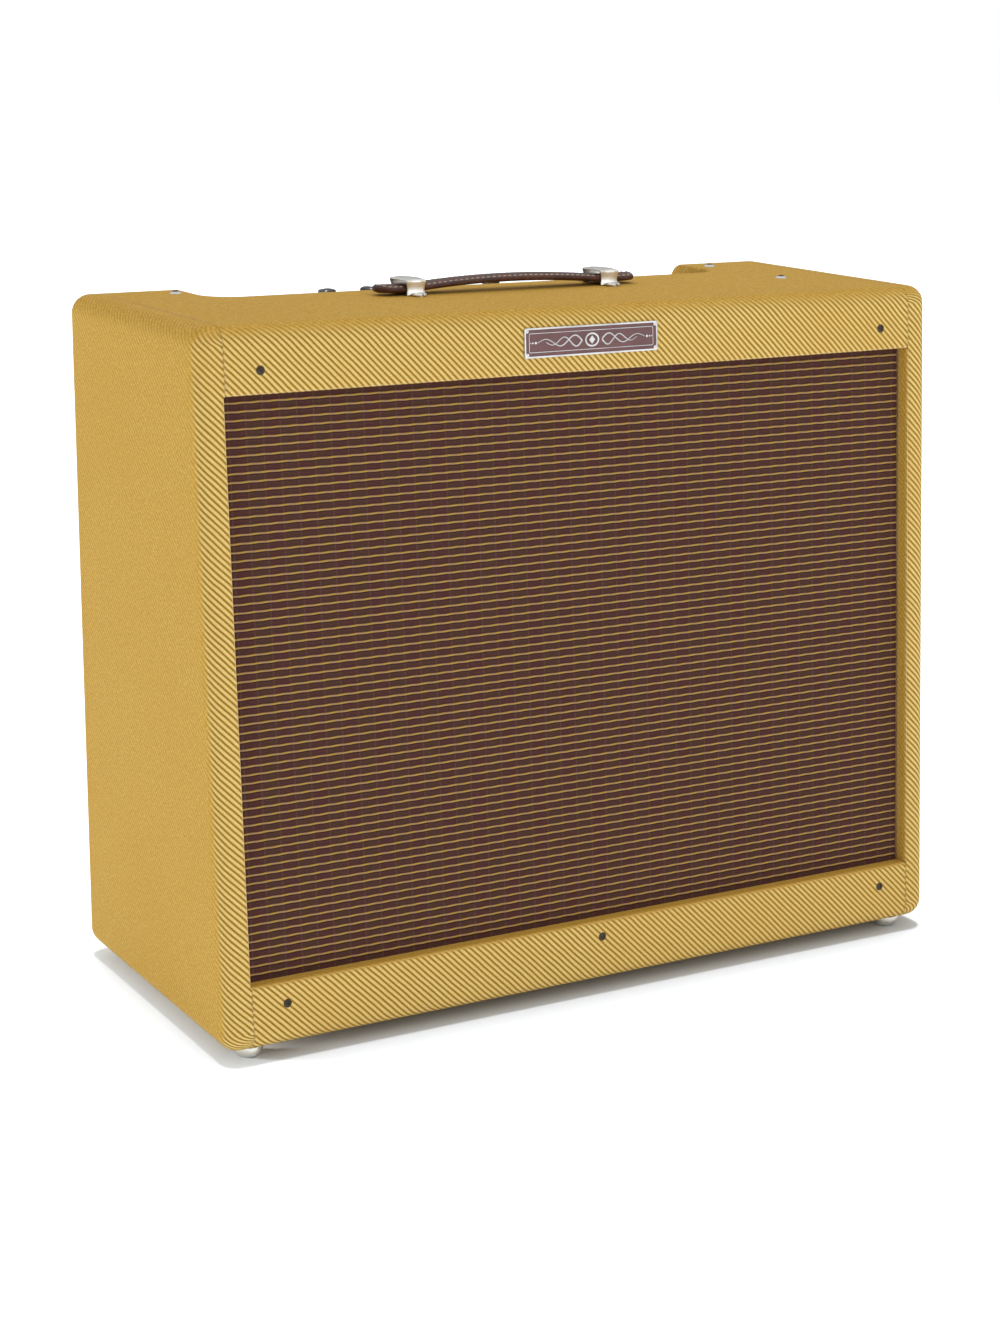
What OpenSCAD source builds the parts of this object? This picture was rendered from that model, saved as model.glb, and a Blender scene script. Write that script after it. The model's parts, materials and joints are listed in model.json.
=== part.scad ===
// Valve guitar amplifier: a cloth-covered combo cabinet with a leaning front, two
// 12 inch loudspeakers set diagonally on one baffle, and a steel chassis hung under
// the notched top board. Millimetres, +Z up, the front faces -Y, and the origin is
// on the floor under the middle of the cabinet.

/* [Cabinet] */
// Width over the cloth covering
cab_w = 622; // [600:1:650]
// Height of the cabinet without its glides
cab_h = 510; // [505:1:530]
// Depth at the bottom
cab_d = 273; // [270:1:290]
// How far the front leans back from the bottom edge to the top edge
front_lean = 34.7; // [30:0.1:38]
// Radius on all the outer edges
edge_r = 14; // [12:0.5:16]
// Thickness of the cloth covering
skin = 0.8; // [0.6:0.1:1]
// Thickness of the two side boards
side_t = 20; // [19:0.5:21]
// Thickness of the top and bottom boards
deck_t = 19; // [18:0.5:19]
// Thickness of the narrow front panels, which is also the depth of the reveal
panel_t = 12; // [11:0.5:13]
// Height of the glides under the cabinet
glide_h = 8.5; // [8:0.5:12]

/* [Front] */
// Lower edge of the grille opening, measured up the leaning front
open_lo = 49; // [46:0.5:52]
// Upper edge of the grille opening, measured up the leaning front
open_hi = 463.7; // [460:0.1:466]
// Thickness of the baffle board
baffle_t = 12; // [10:0.5:14]
// Half the distance between the outer baffle screws
screw_x = 262.6; // [255:0.1:268]

/* [Top] */
// Depth of the notch in the rear edge of the top board
notch_d = 76; // [70:1:80]
// Half the width of the notch at the rear edge
notch_x = 226; // [220:1:230]
// Radius in the inner corners of the notch
notch_r = 26; // [20:1:30]

/* [Chassis] */
// Length of the chassis
chassis_l = 500; // [490:1:510]
// Height of the chassis
chassis_h = 64; // [60:1:68]
// Thickness of the chassis steel
steel_t = 1.5; // [1.2:0.1:2]
// Distance between neighbouring knobs
knob_pitch = 36; // [34:1:37]
// Distance between neighbouring input jacks
jack_pitch = 22; // [20:1:22]

/* [Handle] */
// Overall length of the leather strap
strap_l = 226; // [215:1:235]
// Width of the strap
strap_w = 23; // [20:1:24]
// Thickness of the strap
strap_t = 6; // [5:0.5:6]
// Rise of the strap in the middle
strap_rise = 4.5; // [3:0.5:6]
// Half the distance between the two clamps
clamp_x = 84.5; // [80:0.5:90]

/* [Speakers] */
// Outer diameter of a loudspeaker frame
frame_dia = 306; // [304:1:306]
// Sideways offset of each loudspeaker from the middle
spk_x = 134; // [134:0.5:135]
// Half the difference in height between the two loudspeakers
spk_step = 76; // [76:0.5:77]

/* [Hidden] */

$fn = 48;
eps = 0.01;
tilt = atan(front_lean / cab_h);
half_w = cab_w / 2;
inner_x = half_w - skin - side_t;
open_x = inner_x - skin;
top_under = cab_h - skin - deck_t;
floor_top = skin + deck_t;

// The rounded bottom front edge stands this far behind the sharp one.
front_reach = (edge_r + edge_r * sin(tilt)) / cos(tilt) - edge_r;
y_shift = -(front_reach + cab_d) / 2;

seam_gap = 0.3;
finger_n = 13;
finger_w = cab_d / finger_n;

cloth_t = 1;
baffle_v = panel_t + cloth_t;
baffle_back = baffle_v + baffle_t;
baffle_lo = 22;
baffle_hi = 487;
baffle_x = 288;

panel_screws = [
    [-screw_x, 33], [0, 36.6], [screw_x, 33], [-screw_x, 480.4], [screw_x, 480.4]
];
screw_r = 2.4;
screw_gap = 0.2;
screw_head_r = 3.4;
tnut_r = 3.4;

back_t = 9;
back_recess = 3;
back_y = cab_d - back_recess - back_t;
back_x = inner_x - 1;
upper_back = [350, 488.5];
lower_back = [21, 165];
cleat_w = 18;
cleat_d = 18;
back_screw_x = inner_x - cleat_w / 2;
back_screw_z = [38, 150, 366, 472];

glide_r = 11;
glide_flat_r = 6;
glide_x = 285;
glide_y = [22, cab_d - 22];

plate_w = 113;
plate_h = 21.5;
plate_t = 1.3;
plate_up = 486.6;
plate_rim = 1.8;
plate_sink = 0.4;

ch_y0 = 118;
ch_y1 = back_y - 1;
ch_top = top_under;
ch_bot = ch_top - chassis_h;
ch_lip = 10;
ch_deck = ch_bot + steel_t;
ch_under = ch_top - steel_t;
bolt_x = 239;
chassis_bolt_at = [[bolt_x, 133], [bolt_x, 235], [-bolt_x, 235]];
control_y = 231;

// Controls from the input end (-X) to the mains end (+X).
jack_x = [for (k = [0:3]) -212 + k * jack_pitch];
knob_x = [for (k = [0:4]) -116 + k * knob_pitch];
knob_setting = [30, 15, -20, 10, 45];
pilot_x = 70;
standby_x = 102;
power_x = 134;
fuse_x = 176;

shaft_r = 3.17;
pot_r = 12;
bushing_r = 4.7;
nut_t = 2.4;
knob_z = ch_top + 3.2;
knob_h = 14;
lever_rest = 12;
lever_z = ch_top + 1.5;
plug_r = 3.25;

deck_y = 215;
octal_x = [[88, 15, 76], [48, 15, 76], [4, 17.5, 86], [-42, 17.5, 86]];
noval_x = [-138, -170, -202, -234];
octal_base_h = 20;
octal_base_r = 16.5;
socket_drop = 3;
glass_t = 1;

inlet_x = 222;
spk_jack = [-56, 132];

// Each transformer: its x, then width, depth, height of the laminations and overall drop.
transformer_y = 216;
power_core = [159, 82, 76, 26, 60];
output_core = [-95, 46, 60, 20, 48];

board = [[-222, 110], [146, 206]];
board_z = ch_deck + 9;
part_pitch = 24;
part_n = 13;
can_x = [150, 178, 206];

clamp_y = 158;
clamp_w = 19;
strap_base = cab_h + 4.5;
clamp_in = strap_w / 2 + 1.2;
clamp_t = 1.2;
clamp_top = cab_h + 12.5;
clamp_screw_y = 18.5;

spk_mid = (baffle_lo + baffle_hi) / 2;
spk_r = frame_dia / 2;
spk_low = [-spk_x, spk_mid - spk_step];
spk_high = [spk_x, spk_mid + spk_step];
hole_r = 141;
cone_r = 122;
cone_z = 6;
throat_r = 20;
throat_z = 56;
coil_r = 19;
shelf_r = 72;
shelf_z = 62;
plate_z = 73.5;
spk_bolt_r = 147;

// The internal speaker lead and the jumper, as points along their middles.
lead_r = 2.2;
lead_sides = 8;
lead_path = [
    [-56, 132, 388], [-56, 132, 372], [-55, 133, 356], [-52, 134, 340], [-47, 135, 326],
    [-40, 136, 314], [-31, 137, 304], [-20, 137, 297], [-8, 136, 293], [4, 134, 291],
    [16, 131, 290], [28, 127, 290], [40, 120, 289], [50, 111, 288], [57, 103, 288]
];
jumper_path = [
    [57, 103, 284], [54, 112, 278], [47, 119, 268], [36, 123, 255], [22, 125, 242],
    [6, 126, 230], [-12, 125, 221], [-30, 121, 216], [-45, 113, 216], [-57, 101, 219]
];

// Moves its children from the cabinet's own corner frame (front bottom edge at y = 0,
// underside at z = 0) into the part's frame.
module cab() translate([0, y_shift, glide_h]) children();

// The leaning front: x across, y into the cabinet, z up the slope.
module front() cab() rotate([-tilt, 0, 0]) children();

// One loudspeaker: the origin is on the back of the baffle, +z points into the cabinet.
module speaker(at) front() translate([at[0], baffle_back, at[1]]) rotate([-90, 0, 0]) children();

function lean_y(z) = (edge_r + z * sin(tilt)) / cos(tilt);

// The cabinet's outline with all its edges rounded, shrunk by the edge radius less r.
module rounded_block(r) {
    hull()
        for (sx = [-1, 1], p = [
            [lean_y(edge_r), edge_r], [lean_y(cab_h - edge_r), cab_h - edge_r],
            [cab_d - edge_r, edge_r], [cab_d - edge_r, cab_h - edge_r]
        ])
            translate([sx * (half_w - edge_r), p[0], p[1]]) sphere(r, $fn = 32);
}

module slab(x, y, z) translate([x[0], y[0], z[0]]) cube([x[1] - x[0], y[1] - y[0], z[1] - z[0]]);

// A block with round vertical edges, standing on z = 0.
module round_slab(w, d, h, r) {
    translate([-w / 2 + r, -d / 2, 0]) cube([w - 2 * r, d, h]);
    translate([-w / 2, -d / 2 + r, 0]) cube([w, d - 2 * r, h]);
    for (sx = [-1, 1], sy = [-1, 1])
        translate([sx * (w / 2 - r), sy * (d / 2 - r), 0]) cylinder(r = r, h = h);
}

module ring(r_out, r_in, h) difference() {
    cylinder(r = r_out, h = h);
    translate([0, 0, -1]) cylinder(r = r_in, h = h + 2);
}

module hex_nut(across, r_in, h) difference() {
    cylinder(r = across / 2 / cos(30), h = h, $fn = 6);
    translate([0, 0, -1]) cylinder(r = r_in, h = h + 2, $fn = 48);
}

// ---- cabinet ----

// The fingers of one corner joint: every second slot along the depth.
module fingers(phase, x, z) {
    for (k = [phase:2:finger_n - 1])
        slab(x, [k * finger_w, (k + 1) * finger_w], z);
}

module notch_shape() {
    flat_y = cab_d - notch_d;
    translate([-notch_x, flat_y + notch_r]) square([2 * notch_x, notch_d]);
    translate([-notch_x + notch_r, flat_y]) square([2 * (notch_x - notch_r), notch_d]);
    for (sx = [-1, 1])
        translate([sx * (notch_x - notch_r), flat_y + notch_r]) circle(notch_r);
}

module side_board(s) color("burlywood") cab() difference() {
    intersection() {
        rounded_block(edge_r - skin);
        mirror([s < 0 ? 1 : 0, 0, 0]) slab([inner_x, half_w + 1], [-1, cab_d + 1], [-1, cab_h + 1]);
    }
    mirror([s < 0 ? 1 : 0, 0, 0]) {
        fingers(0, [inner_x - 1, half_w + 1], [top_under, cab_h]);
        fingers(0, [inner_x - 1, half_w + 1], [0, floor_top]);
    }
}

module end_board(z, notched) color("burlywood") cab() difference() {
    intersection() {
        rounded_block(edge_r - skin);
        slab([-half_w, half_w], [-1, cab_d + 1], z);
    }
    for (s = [0, 1]) mirror([s, 0, 0])
        fingers(1, [inner_x, half_w + 1], [z[0] - 1, z[1] + 1]);
    if (notched) {
        translate([0, 0, top_under - 5]) linear_extrude(deck_t + 10) notch_shape();
        for (p = chassis_bolt_at)
            translate([p[0], p[1], top_under - 5]) cylinder(r = screw_r + screw_gap, h = deck_t + 10);
        clamp_screw_holes();
    }
}

module clamp_screw_holes() {
    for (sx = [-1, 1], sy = [-1, 1])
        translate([sx * clamp_x, clamp_y + sy * clamp_screw_y, cab_h - 14])
            cylinder(r = 1.6, h = 20);
}

module panel_holes(v0, v1) {
    for (p = panel_screws)
        translate([p[0], v0, p[1]]) rotate([-90, 0, 0])
            cylinder(r = screw_r + screw_gap, h = v1 - v0);
}

module front_panel(w) color("wheat") difference() {
    intersection() {
        front() slab([-inner_x, inner_x], [skin + eps, panel_t], w);
        cab() slab([-half_w, half_w], [-1, cab_d], [floor_top, top_under]);
    }
    front() panel_holes(-1, panel_t + 1);
}

// Four pieces of glued cloth: two cheeks that wrap the side boards and two strips that
// wrap the top and the bottom with the narrow front panels.
module tweed_covering() color([0.8, 0.63, 0.3]) {
    difference() {
        union() {
            cab() difference() {
                rounded_block(edge_r);
                rounded_block(edge_r - skin);
                slab([-inner_x, inner_x], [cab_d / 2, cab_d + 1], [floor_top, top_under]);
            }
            front() for (sx = [-1, 1])
                translate([sx * (inner_x - skin / 2), panel_t / 2, (open_lo + open_hi) / 2])
                    cube([skin, panel_t - 0.1, open_hi - open_lo - seam_gap], center = true);
            front() slab([-open_x + seam_gap, open_x - seam_gap], [0.1, panel_t - 0.1],
                [open_hi, open_hi + skin]);
            front() slab([-open_x + seam_gap, open_x - seam_gap], [0.1, panel_t - 0.1],
                [open_lo - skin, open_lo]);
        }
        front() slab([-open_x, open_x], [-edge_r, edge_r], [open_lo, open_hi]);
        cab() translate([0, 0, top_under - 5]) linear_extrude(deck_t + 10) notch_shape();
        for (sx = [-1, 1]) cab() {
            x = sx * (open_x - seam_gap / 2);
            slab([x - seam_gap / 2, x + seam_gap / 2], [-1, cab_d + 1], [top_under, cab_h + 1]);
            slab([x - seam_gap / 2, x + seam_gap / 2], [-1, cab_d + 1], [-1, floor_top]);
            front_seams(x);
        }
        front() panel_holes(-2, panel_t);
        cab() for (p = chassis_bolt_at)
            translate([p[0], p[1], cab_h - 5]) cylinder(r = screw_r + screw_gap, h = 10);
        cab() clamp_screw_holes();
    }
}

// The cheek cloth and the strip cloth meet on the front in two upright seams.
module front_seams(x) {
    rotate([-tilt, 0, 0]) for (z = [[-2, open_lo + 1], [open_hi - 1, cab_h + 5]])
        slab([x - seam_gap / 2, x + seam_gap / 2], [-2, panel_t + 1], z);
}

module baffle_board() color("peru") front() difference() {
    slab([-baffle_x, baffle_x], [baffle_v, baffle_back], [baffle_lo, baffle_hi]);
    for (at = [spk_low, spk_high])
        translate([at[0], baffle_v - 1, at[1]]) rotate([-90, 0, 0]) {
            cylinder(r = hole_r, h = baffle_t + 2);
            translate([0, 0, 2]) at_speaker_bolts() cylinder(r = screw_r + screw_gap, h = baffle_t);
        }
    for (p = panel_screws)
        translate([p[0], baffle_v - 1, p[1]]) rotate([-90, 0, 0])
            cylinder(r = tnut_r + screw_gap, h = baffle_t + 2);
}

module grille_cloth() color([0.32, 0.2, 0.17]) front() difference() {
    slab([-baffle_x, baffle_x], [panel_t, baffle_v], [baffle_lo, baffle_hi]);
    panel_holes(panel_t - 1, baffle_v + 1);
}

module back_panel(z) color([0.8, 0.63, 0.3]) cab() difference() {
    slab([-back_x, back_x], [back_y, back_y + back_t], z);
    back_screw_holes(back_y - 1, back_y + back_t + 1, 2.2);
}

module back_screw_holes(y0, y1, r) {
    for (sx = [-1, 1], z = back_screw_z)
        translate([sx * back_screw_x, y0, z]) rotate([-90, 0, 0]) cylinder(r = r, h = y1 - y0);
}

module back_cleats() color("burlywood") cab() difference() {
    for (s = [0, 1], z = [[24, 163], [352, 486]]) mirror([s, 0, 0])
        slab([inner_x - cleat_w, inner_x], [back_y - cleat_d, back_y], z);
    back_screw_holes(back_y - cleat_d + 2, back_y + 1, 2);
}

// ---- fasteners, glides and nameplate ----

// A low domed head with a cross recess; the shank runs towards +z from z = 0.
module crosshead_screw(head_r, head_h, shank_r, shank_l) {
    dome_r = (head_r * head_r + head_h * head_h) / (2 * head_h);
    difference() {
        intersection() {
            translate([0, 0, -head_h]) cylinder(r = head_r, h = head_h);
            translate([0, 0, dome_r - head_h]) sphere(dome_r);
        }
        for (a = [0, 90]) rotate([0, 0, a])
            translate([-head_r * 0.55, -head_r * 0.11, -head_h - 1])
                cube([head_r * 1.1, head_r * 0.22, 1 + head_h * 0.7]);
    }
    cylinder(r = shank_r, h = shank_l);
}

module baffle_bolts() color([0.15, 0.13, 0.12]) front()
    for (p = panel_screws)
        translate([p[0], 0, p[1]]) rotate([-90, 0, 0])
            crosshead_screw(screw_head_r, 1.2, screw_r, baffle_back - 2);

module baffle_tnuts() color("silver") front()
    for (p = panel_screws)
        translate([p[0], baffle_v + 1, p[1]]) rotate([-90, 0, 0]) {
            ring(tnut_r, screw_r + 0.1, baffle_t - 1);
            translate([0, 0, baffle_t - 1]) ring(9, screw_r + 0.1, 1.2);
        }

module chassis_bolts() color("silver") cab()
    for (p = chassis_bolt_at)
        translate([p[0], p[1], cab_h]) mirror([0, 0, 1]) {
            crosshead_screw(4.8, 2.4, screw_r, deck_t + skin + steel_t + 5);
            translate([0, 0, deck_t + skin + steel_t]) hex_nut(8, screw_r - 0.05, 3.2);
        }

module back_panel_screws() color("silver") cab()
    for (sx = [-1, 1], z = back_screw_z)
        translate([sx * back_screw_x, back_y + back_t, z]) rotate([90, 0, 0]) {
            crosshead_screw(3.6, 2.3, 1.9, back_t + cleat_d - 4);
            translate([0, 0, -1.4]) cylinder(r1 = 4.6, r2 = 7, h = 1.4);
        }

module glides() color([0.85, 0.83, 0.78]) translate([0, y_shift, 0])
    for (sx = [-1, 1], y = glide_y)
        translate([sx * glide_x, y, 0]) rotate_extrude() polygon(concat(
            [[0, 0]],
            [for (a = [0:10:90]) [
                glide_flat_r + (glide_r - glide_flat_r) * sin(a),
                (glide_h - 2.5) * (1 - cos(a))
            ]],
            [[glide_r, glide_h], [0, glide_h]]
        ));

module nameplate() color([0.45, 0.3, 0.27]) front()
    translate([0, 0, plate_up]) rotate([90, 0, 0]) difference() {
        round_slab(plate_w, plate_h, plate_t, 1.2);
        translate([0, 0, plate_t - plate_sink])
            round_slab(plate_w - 2 * plate_rim, plate_h - 2 * plate_rim, 1, 1.6);
    }

// ---- handle ----

function strap_mid(x) = strap_base + strap_rise * (1 - pow(x / clamp_x, 2))
    + (abs(x) > clamp_x ? strap_rise * (pow(x / clamp_x, 2) - 1) * 1.2 : 0);

module handle_strap() color([0.3, 0.16, 0.12]) {
    steps = 28;
    xs = [for (k = [0:steps]) -strap_l / 2 + k * strap_l / steps];
    cab() translate([0, clamp_y, 0]) intersection() {
        rotate([90, 0, 0]) linear_extrude(strap_w + 2, center = true) polygon(concat(
            [for (x = xs) [x, strap_mid(x) + strap_t / 2]],
            [for (k = [steps:-1:0]) [xs[k], strap_mid(xs[k]) - strap_t / 2]]
        ));
        translate([0, 0, cab_h]) linear_extrude(30) {
            square([strap_l - strap_w, strap_w], center = true);
            for (sx = [-1, 1]) translate([sx * (strap_l - strap_w) / 2, 0]) circle(strap_w / 2);
        }
    }
}

// A pressed loop: a foot plate screwed to the top, two waisted legs and a flat cap.
module handle_clamp() {
    difference() {
        rotate([90, 0, 90]) linear_extrude(clamp_w, center = true) {
            difference() {
                clamp_outline(clamp_in + clamp_t, clamp_top);
                clamp_outline(clamp_in, clamp_top - clamp_t);
                translate([-clamp_in + 0.5, cab_h - 1])
                    square([2 * clamp_in - 1, clamp_t + 1]);
            }
            translate([-clamp_in - 9, cab_h]) square([2 * clamp_in + 18, clamp_t]);
        }
        for (s = [-1, 1]) {
            translate([0, s * clamp_screw_y, cab_h - 1]) cylinder(r = 2, h = 5);
            translate([-1.2, s * (clamp_in + 0.6) - 2, cab_h + clamp_t]) cube([2.4, 4, 2.2]);
        }
    }
}

module clamp_outline(half, top) {
    waist = 1.1;
    z = [cab_h, cab_h + 3, cab_h + 6.5, top - 1.5, top];
    w = [half + 0.4, half - waist * 0.4, half - waist * 0.4, half, half];
    polygon(concat([for (k = [0:4]) [w[k], z[k]]], [for (k = [4:-1:0]) [-w[k], z[k]]]));
}

module handle_clamps() color("silver") cab()
    for (sx = [-1, 1]) translate([sx * clamp_x, clamp_y, 0]) handle_clamp();

module clamp_screws() color("silver") cab()
    for (sx = [-1, 1], sy = [-1, 1])
        translate([sx * clamp_x, clamp_y + sy * clamp_screw_y, cab_h + clamp_t])
            mirror([0, 0, 1]) crosshead_screw(2.9, 1.6, 1.5, 14);

// ---- chassis and controls ----

module chassis() color("gainsboro") cab() difference() {
    slab([-chassis_l / 2, chassis_l / 2], [ch_y0, ch_y1], [ch_bot, ch_top]);
    slab([-chassis_l / 2 + steel_t, chassis_l / 2 - steel_t], [ch_y0 + steel_t, ch_y1 - steel_t],
        [ch_deck, ch_under]);
    slab([-chassis_l / 2 + steel_t, chassis_l / 2 - steel_t], [ch_y1 - 5, ch_y1 + 1],
        [ch_deck + ch_lip, ch_under - ch_lip]);
    panel_hole(concat(jack_x, knob_x), bushing_r + 0.1);
    panel_hole([standby_x, power_x], 6.1);
    panel_hole([fuse_x], 6.4);
    panel_hole([pilot_x], 8.2);
    for (p = chassis_bolt_at)
        translate([p[0], p[1], ch_under - 1]) cylinder(r = screw_r + screw_gap, h = 5);
    for (v = octal_x) translate([v[0], deck_y, ch_bot - 1]) cylinder(r = 14.2, h = 5);
    for (x = noval_x) translate([x, deck_y, ch_bot - 1]) cylinder(r = 9.7, h = 5);
    translate([spk_jack[0], spk_jack[1], ch_bot - 1]) cylinder(r = bushing_r + 0.1, h = 5);
    translate([inlet_x, deck_y, ch_bot + 0.5]) cube([20.2, 27.2, 5], center = true);
}

module panel_hole(xs, r) {
    for (x = xs) translate([x, control_y, ch_under - 1]) cylinder(r = r, h = 5);
}

module pot_bodies() color("darkgray") cab()
    for (x = knob_x) translate([x, control_y, 0]) difference() {
        union() {
            translate([0, 0, ch_under - 10]) cylinder(r = pot_r, h = 10);
            translate([-9, -pot_r - 7, ch_under - 4]) cube([18, 10, 2]);
            translate([0, 0, ch_under - 1]) cylinder(r = bushing_r, h = steel_t + 3.6);
        }
        translate([0, 0, ch_under - 8]) cylinder(r = shaft_r + 0.08, h = 20);
    }

module panel_nuts() color("silver") cab() {
    for (x = concat(knob_x, jack_x))
        translate([x, control_y, ch_top]) hex_nut(12.5, bushing_r + 0.05, nut_t);
    for (x = [standby_x, power_x])
        translate([x, control_y, ch_top]) hex_nut(15, 6.05, nut_t);
}

// A pointer knob: a round skirt with a tapering grip. At a setting of 0 it points at the
// handle, and its settings count clockwise from there.
module pointer_knob(k) color([0.08, 0.07, 0.07]) cab()
    translate([knob_x[k], control_y, knob_z]) rotate([0, 0, -knob_setting[k]]) {
        difference() {
            union() {
                cylinder(r1 = 11, r2 = 10.3, h = 2.6);
                linear_extrude(knob_h - 0.6) knob_plan(0.6);
                linear_extrude(knob_h) knob_plan(0);
            }
            translate([0, 0, -1]) cylinder(r = shaft_r + 0.03, h = 11);
        }
        translate([0, 0, ch_under - knob_z - 7.5]) cylinder(r = shaft_r, h = 17.5);
    }

module knob_plan(grow) {
    hull() {
        circle(6.4 + grow, $fn = 32);
        translate([0, -14.5]) circle(1.3 + grow, $fn = 16);
        translate([0, 9]) circle(2.6 + grow, $fn = 16);
    }
}

module toggle_body() {
    difference() {
        union() {
            translate([-6.5, -10, ch_under - 15]) cube([13, 20, 15]);
            translate([0, 0, ch_under - 1]) cylinder(r = 5.9, h = steel_t + 7.5);
        }
        translate([0, 0, lever_z - 3]) cylinder(r1 = 2.3, r2 = 5, h = 10);
        translate([0, 0, lever_z - 3.1]) cylinder(r = 2.3, h = 1);
    }
}

module switch_bodies() color("dimgray") cab()
    for (x = [standby_x, power_x]) translate([x, control_y, 0]) toggle_body();

module toggle_lever(x) color("silver") cab() translate([x, control_y, lever_z])
    rotate([-lever_rest, 0, 0]) {
        sphere(1.9);
        cylinder(r1 = 1.3, r2 = 2.6, h = 17);
        translate([0, 0, 17]) sphere(2.6);
    }

module fuse_holder() color([0.1, 0.1, 0.1]) cab() translate([fuse_x, control_y, 0]) difference() {
    union() {
        translate([0, 0, ch_under - 34]) cylinder(r = 6.2, h = 34 + steel_t + 3);
        translate([0, 0, ch_top]) cylinder(r = 8.6, h = 2);
        translate([0, 0, ch_under - 3]) ring(9, 6, 3);
    }
    translate([0, 0, ch_under - 30]) cylinder(r = 4.2, h = 60);
}

module fuse_cap() color([0.1, 0.1, 0.1]) cab() translate([fuse_x, control_y, ch_top + 3.3]) {
    difference() {
        cylinder(r1 = 7.4, r2 = 6.8, h = 8);
        translate([-4.5, -0.7, 6.8]) cube([9, 1.4, 3]);
        for (a = [0:20:340]) rotate([0, 0, a]) translate([7.9, 0, 1]) cylinder(r = 0.8, h = 8);
    }
    translate([0, 0, -26]) cylinder(r = 3.9, h = 26.5);
}

module pilot_holder() color("silver") cab() translate([pilot_x, control_y, 0]) {
    translate([0, 0, ch_under - 22]) ring(8, 7, 26.5 + steel_t);
    translate([0, 0, ch_top]) ring(10, 7.9, 2.6);
    translate([0, 0, ch_under - 25]) cylinder(r = 8, h = 3.2);
}

module pilot_jewel() color([0.8, 0.05, 0.03]) cab() translate([pilot_x, control_y, ch_top + 4.6]) {
    translate([0, 0, -5]) cylinder(r = 6.8, h = 5.2);
    cylinder(r = 8, h = 2.6);
    translate([0, 0, 2.6]) rotate_extrude($fn = 16)
        polygon([[0, 0], [8, 0], [6.6, 2.6], [3.6, 4.6], [0, 5.2]]);
}

// An open-frame phone jack: the bushing points up, the spring bends past its side.
module phone_jack() {
    difference() {
        union() {
            translate([0, 0, -3.2]) cylinder(r = 7.6, h = 3.2);
            translate([0, 0, -1]) cylinder(r = bushing_r, h = steel_t + 5);
        }
        translate([0, 0, -4]) cylinder(r = plug_r, h = 14);
    }
    translate([-4, 5.2, -22]) cube([8, 1.2, 20]);
    translate([-2.5, -6.4, -18]) cube([5, 0.8, 16]);
    translate([-2.5, -6.4, -19]) cube([5, 2.4, 1.2]);
}

module input_jacks() color("silver") cab()
    for (x = jack_x) translate([x, control_y, ch_under]) phone_jack();

module speaker_jack() color("silver") cab()
    translate([spk_jack[0], spk_jack[1], ch_deck]) mirror([0, 0, 1]) phone_jack();

module mains_inlet() color([0.08, 0.08, 0.08]) cab() translate([inlet_x, deck_y, 0]) {
    difference() {
        union() {
            translate([0, 0, ch_bot - 3]) round_slab(22.5, 50, 3, 4);
            translate([-10, -13.5, ch_bot - 0.5]) cube([20, 27, 20]);
        }
        translate([-8, -11.5, ch_bot - 4]) cube([16, 23, 20]);
        for (s = [-1, 1]) translate([0, s * 20, ch_bot - 4]) cylinder(r = 1.8, h = 5);
    }
    for (p = [[0, -3.5], [-7, 3.5], [7, 3.5]])
        translate([p[1] - 1, p[0] - 2, ch_bot + 3]) cube([2, 4, 14]);
}

// ---- transformers, valves and circuit under and in the chassis ----

// A lay-down transformer: a bolted stack of laminations with a pressed cover below it.
module transformer(core) translate([core[0], transformer_y, ch_bot]) mirror([0, 0, 1]) {
    w = core[1];
    d = core[2];
    stack = core[3];
    drop = core[4];
    translate([-w / 2, -d / 2, 0]) cube([w, d, stack]);
    translate([0, 0, stack]) round_slab(w - 10, d - 10, drop - stack - 4, 8);
    translate([0, 0, drop - 4]) round_slab(w - 18, d - 18, 4, 6);
    for (sx = [-1, 1], sy = [-1, 1])
        translate([sx * (w / 2 - 6), sy * (d / 2 - 6), 0]) cylinder(r = 2.2, h = stack + 5);
}

module power_transformer() color([0.1, 0.1, 0.1]) cab() transformer(power_core);

module output_transformer() color([0.1, 0.1, 0.1]) cab() transformer(output_core);

module valve_sockets() color([0.35, 0.22, 0.13]) cab() {
    for (v = octal_x) translate([v[0], deck_y, ch_bot]) {
        translate([0, 0, -socket_drop]) cylinder(r = 17, h = socket_drop);
        translate([0, 0, -1]) cylinder(r = 14, h = 9);
    }
    for (x = noval_x) translate([x, deck_y, ch_bot]) {
        translate([0, 0, -socket_drop]) cylinder(r = 12, h = socket_drop);
        translate([0, 0, -1]) cylinder(r = 9.5, h = 8);
    }
}

module valve_bases() color([0.1, 0.08, 0.07]) cab()
    for (v = octal_x) translate([v[0], deck_y, ch_bot - socket_drop - octal_base_h]) {
        cylinder(r = octal_base_r, h = octal_base_h);
        translate([0, 0, -1]) cylinder(r = 13, h = 2);
    }

// A bottle that hangs from z = 0: a straight wall, a domed end, hollow, closed by the base.
module bottle(r, l, t) {
    dome = r * 0.75;
    rotate_extrude() polygon(concat(
        [[r - t, 0], [r, 0]],
        [for (a = [0:15:90]) [r * cos(a), -(l - dome) - dome * sin(a)]],
        [for (a = [90:-15:0]) [(r - t) * cos(a), -(l - dome) - (dome - t) * sin(a)]]
    ));
}

module valve_envelopes() color([0.8, 0.85, 0.9, 0.4]) cab() {
    for (v = octal_x) translate([v[0], deck_y, ch_bot - socket_drop - octal_base_h - 1])
        bottle(v[1], v[2], glass_t);
    for (x = noval_x) translate([x, deck_y, ch_bot - socket_drop]) bottle(10.5, 50, glass_t);
}

module plate_stack(r, l, from) translate([0, 0, -from - l]) {
    translate([-r * 0.62, -r * 0.4, 0]) cube([r * 1.24, r * 0.8, l]);
    for (z = [0, l - 1]) translate([0, 0, z]) cylinder(r = r * 0.86, h = 1);
}

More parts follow.
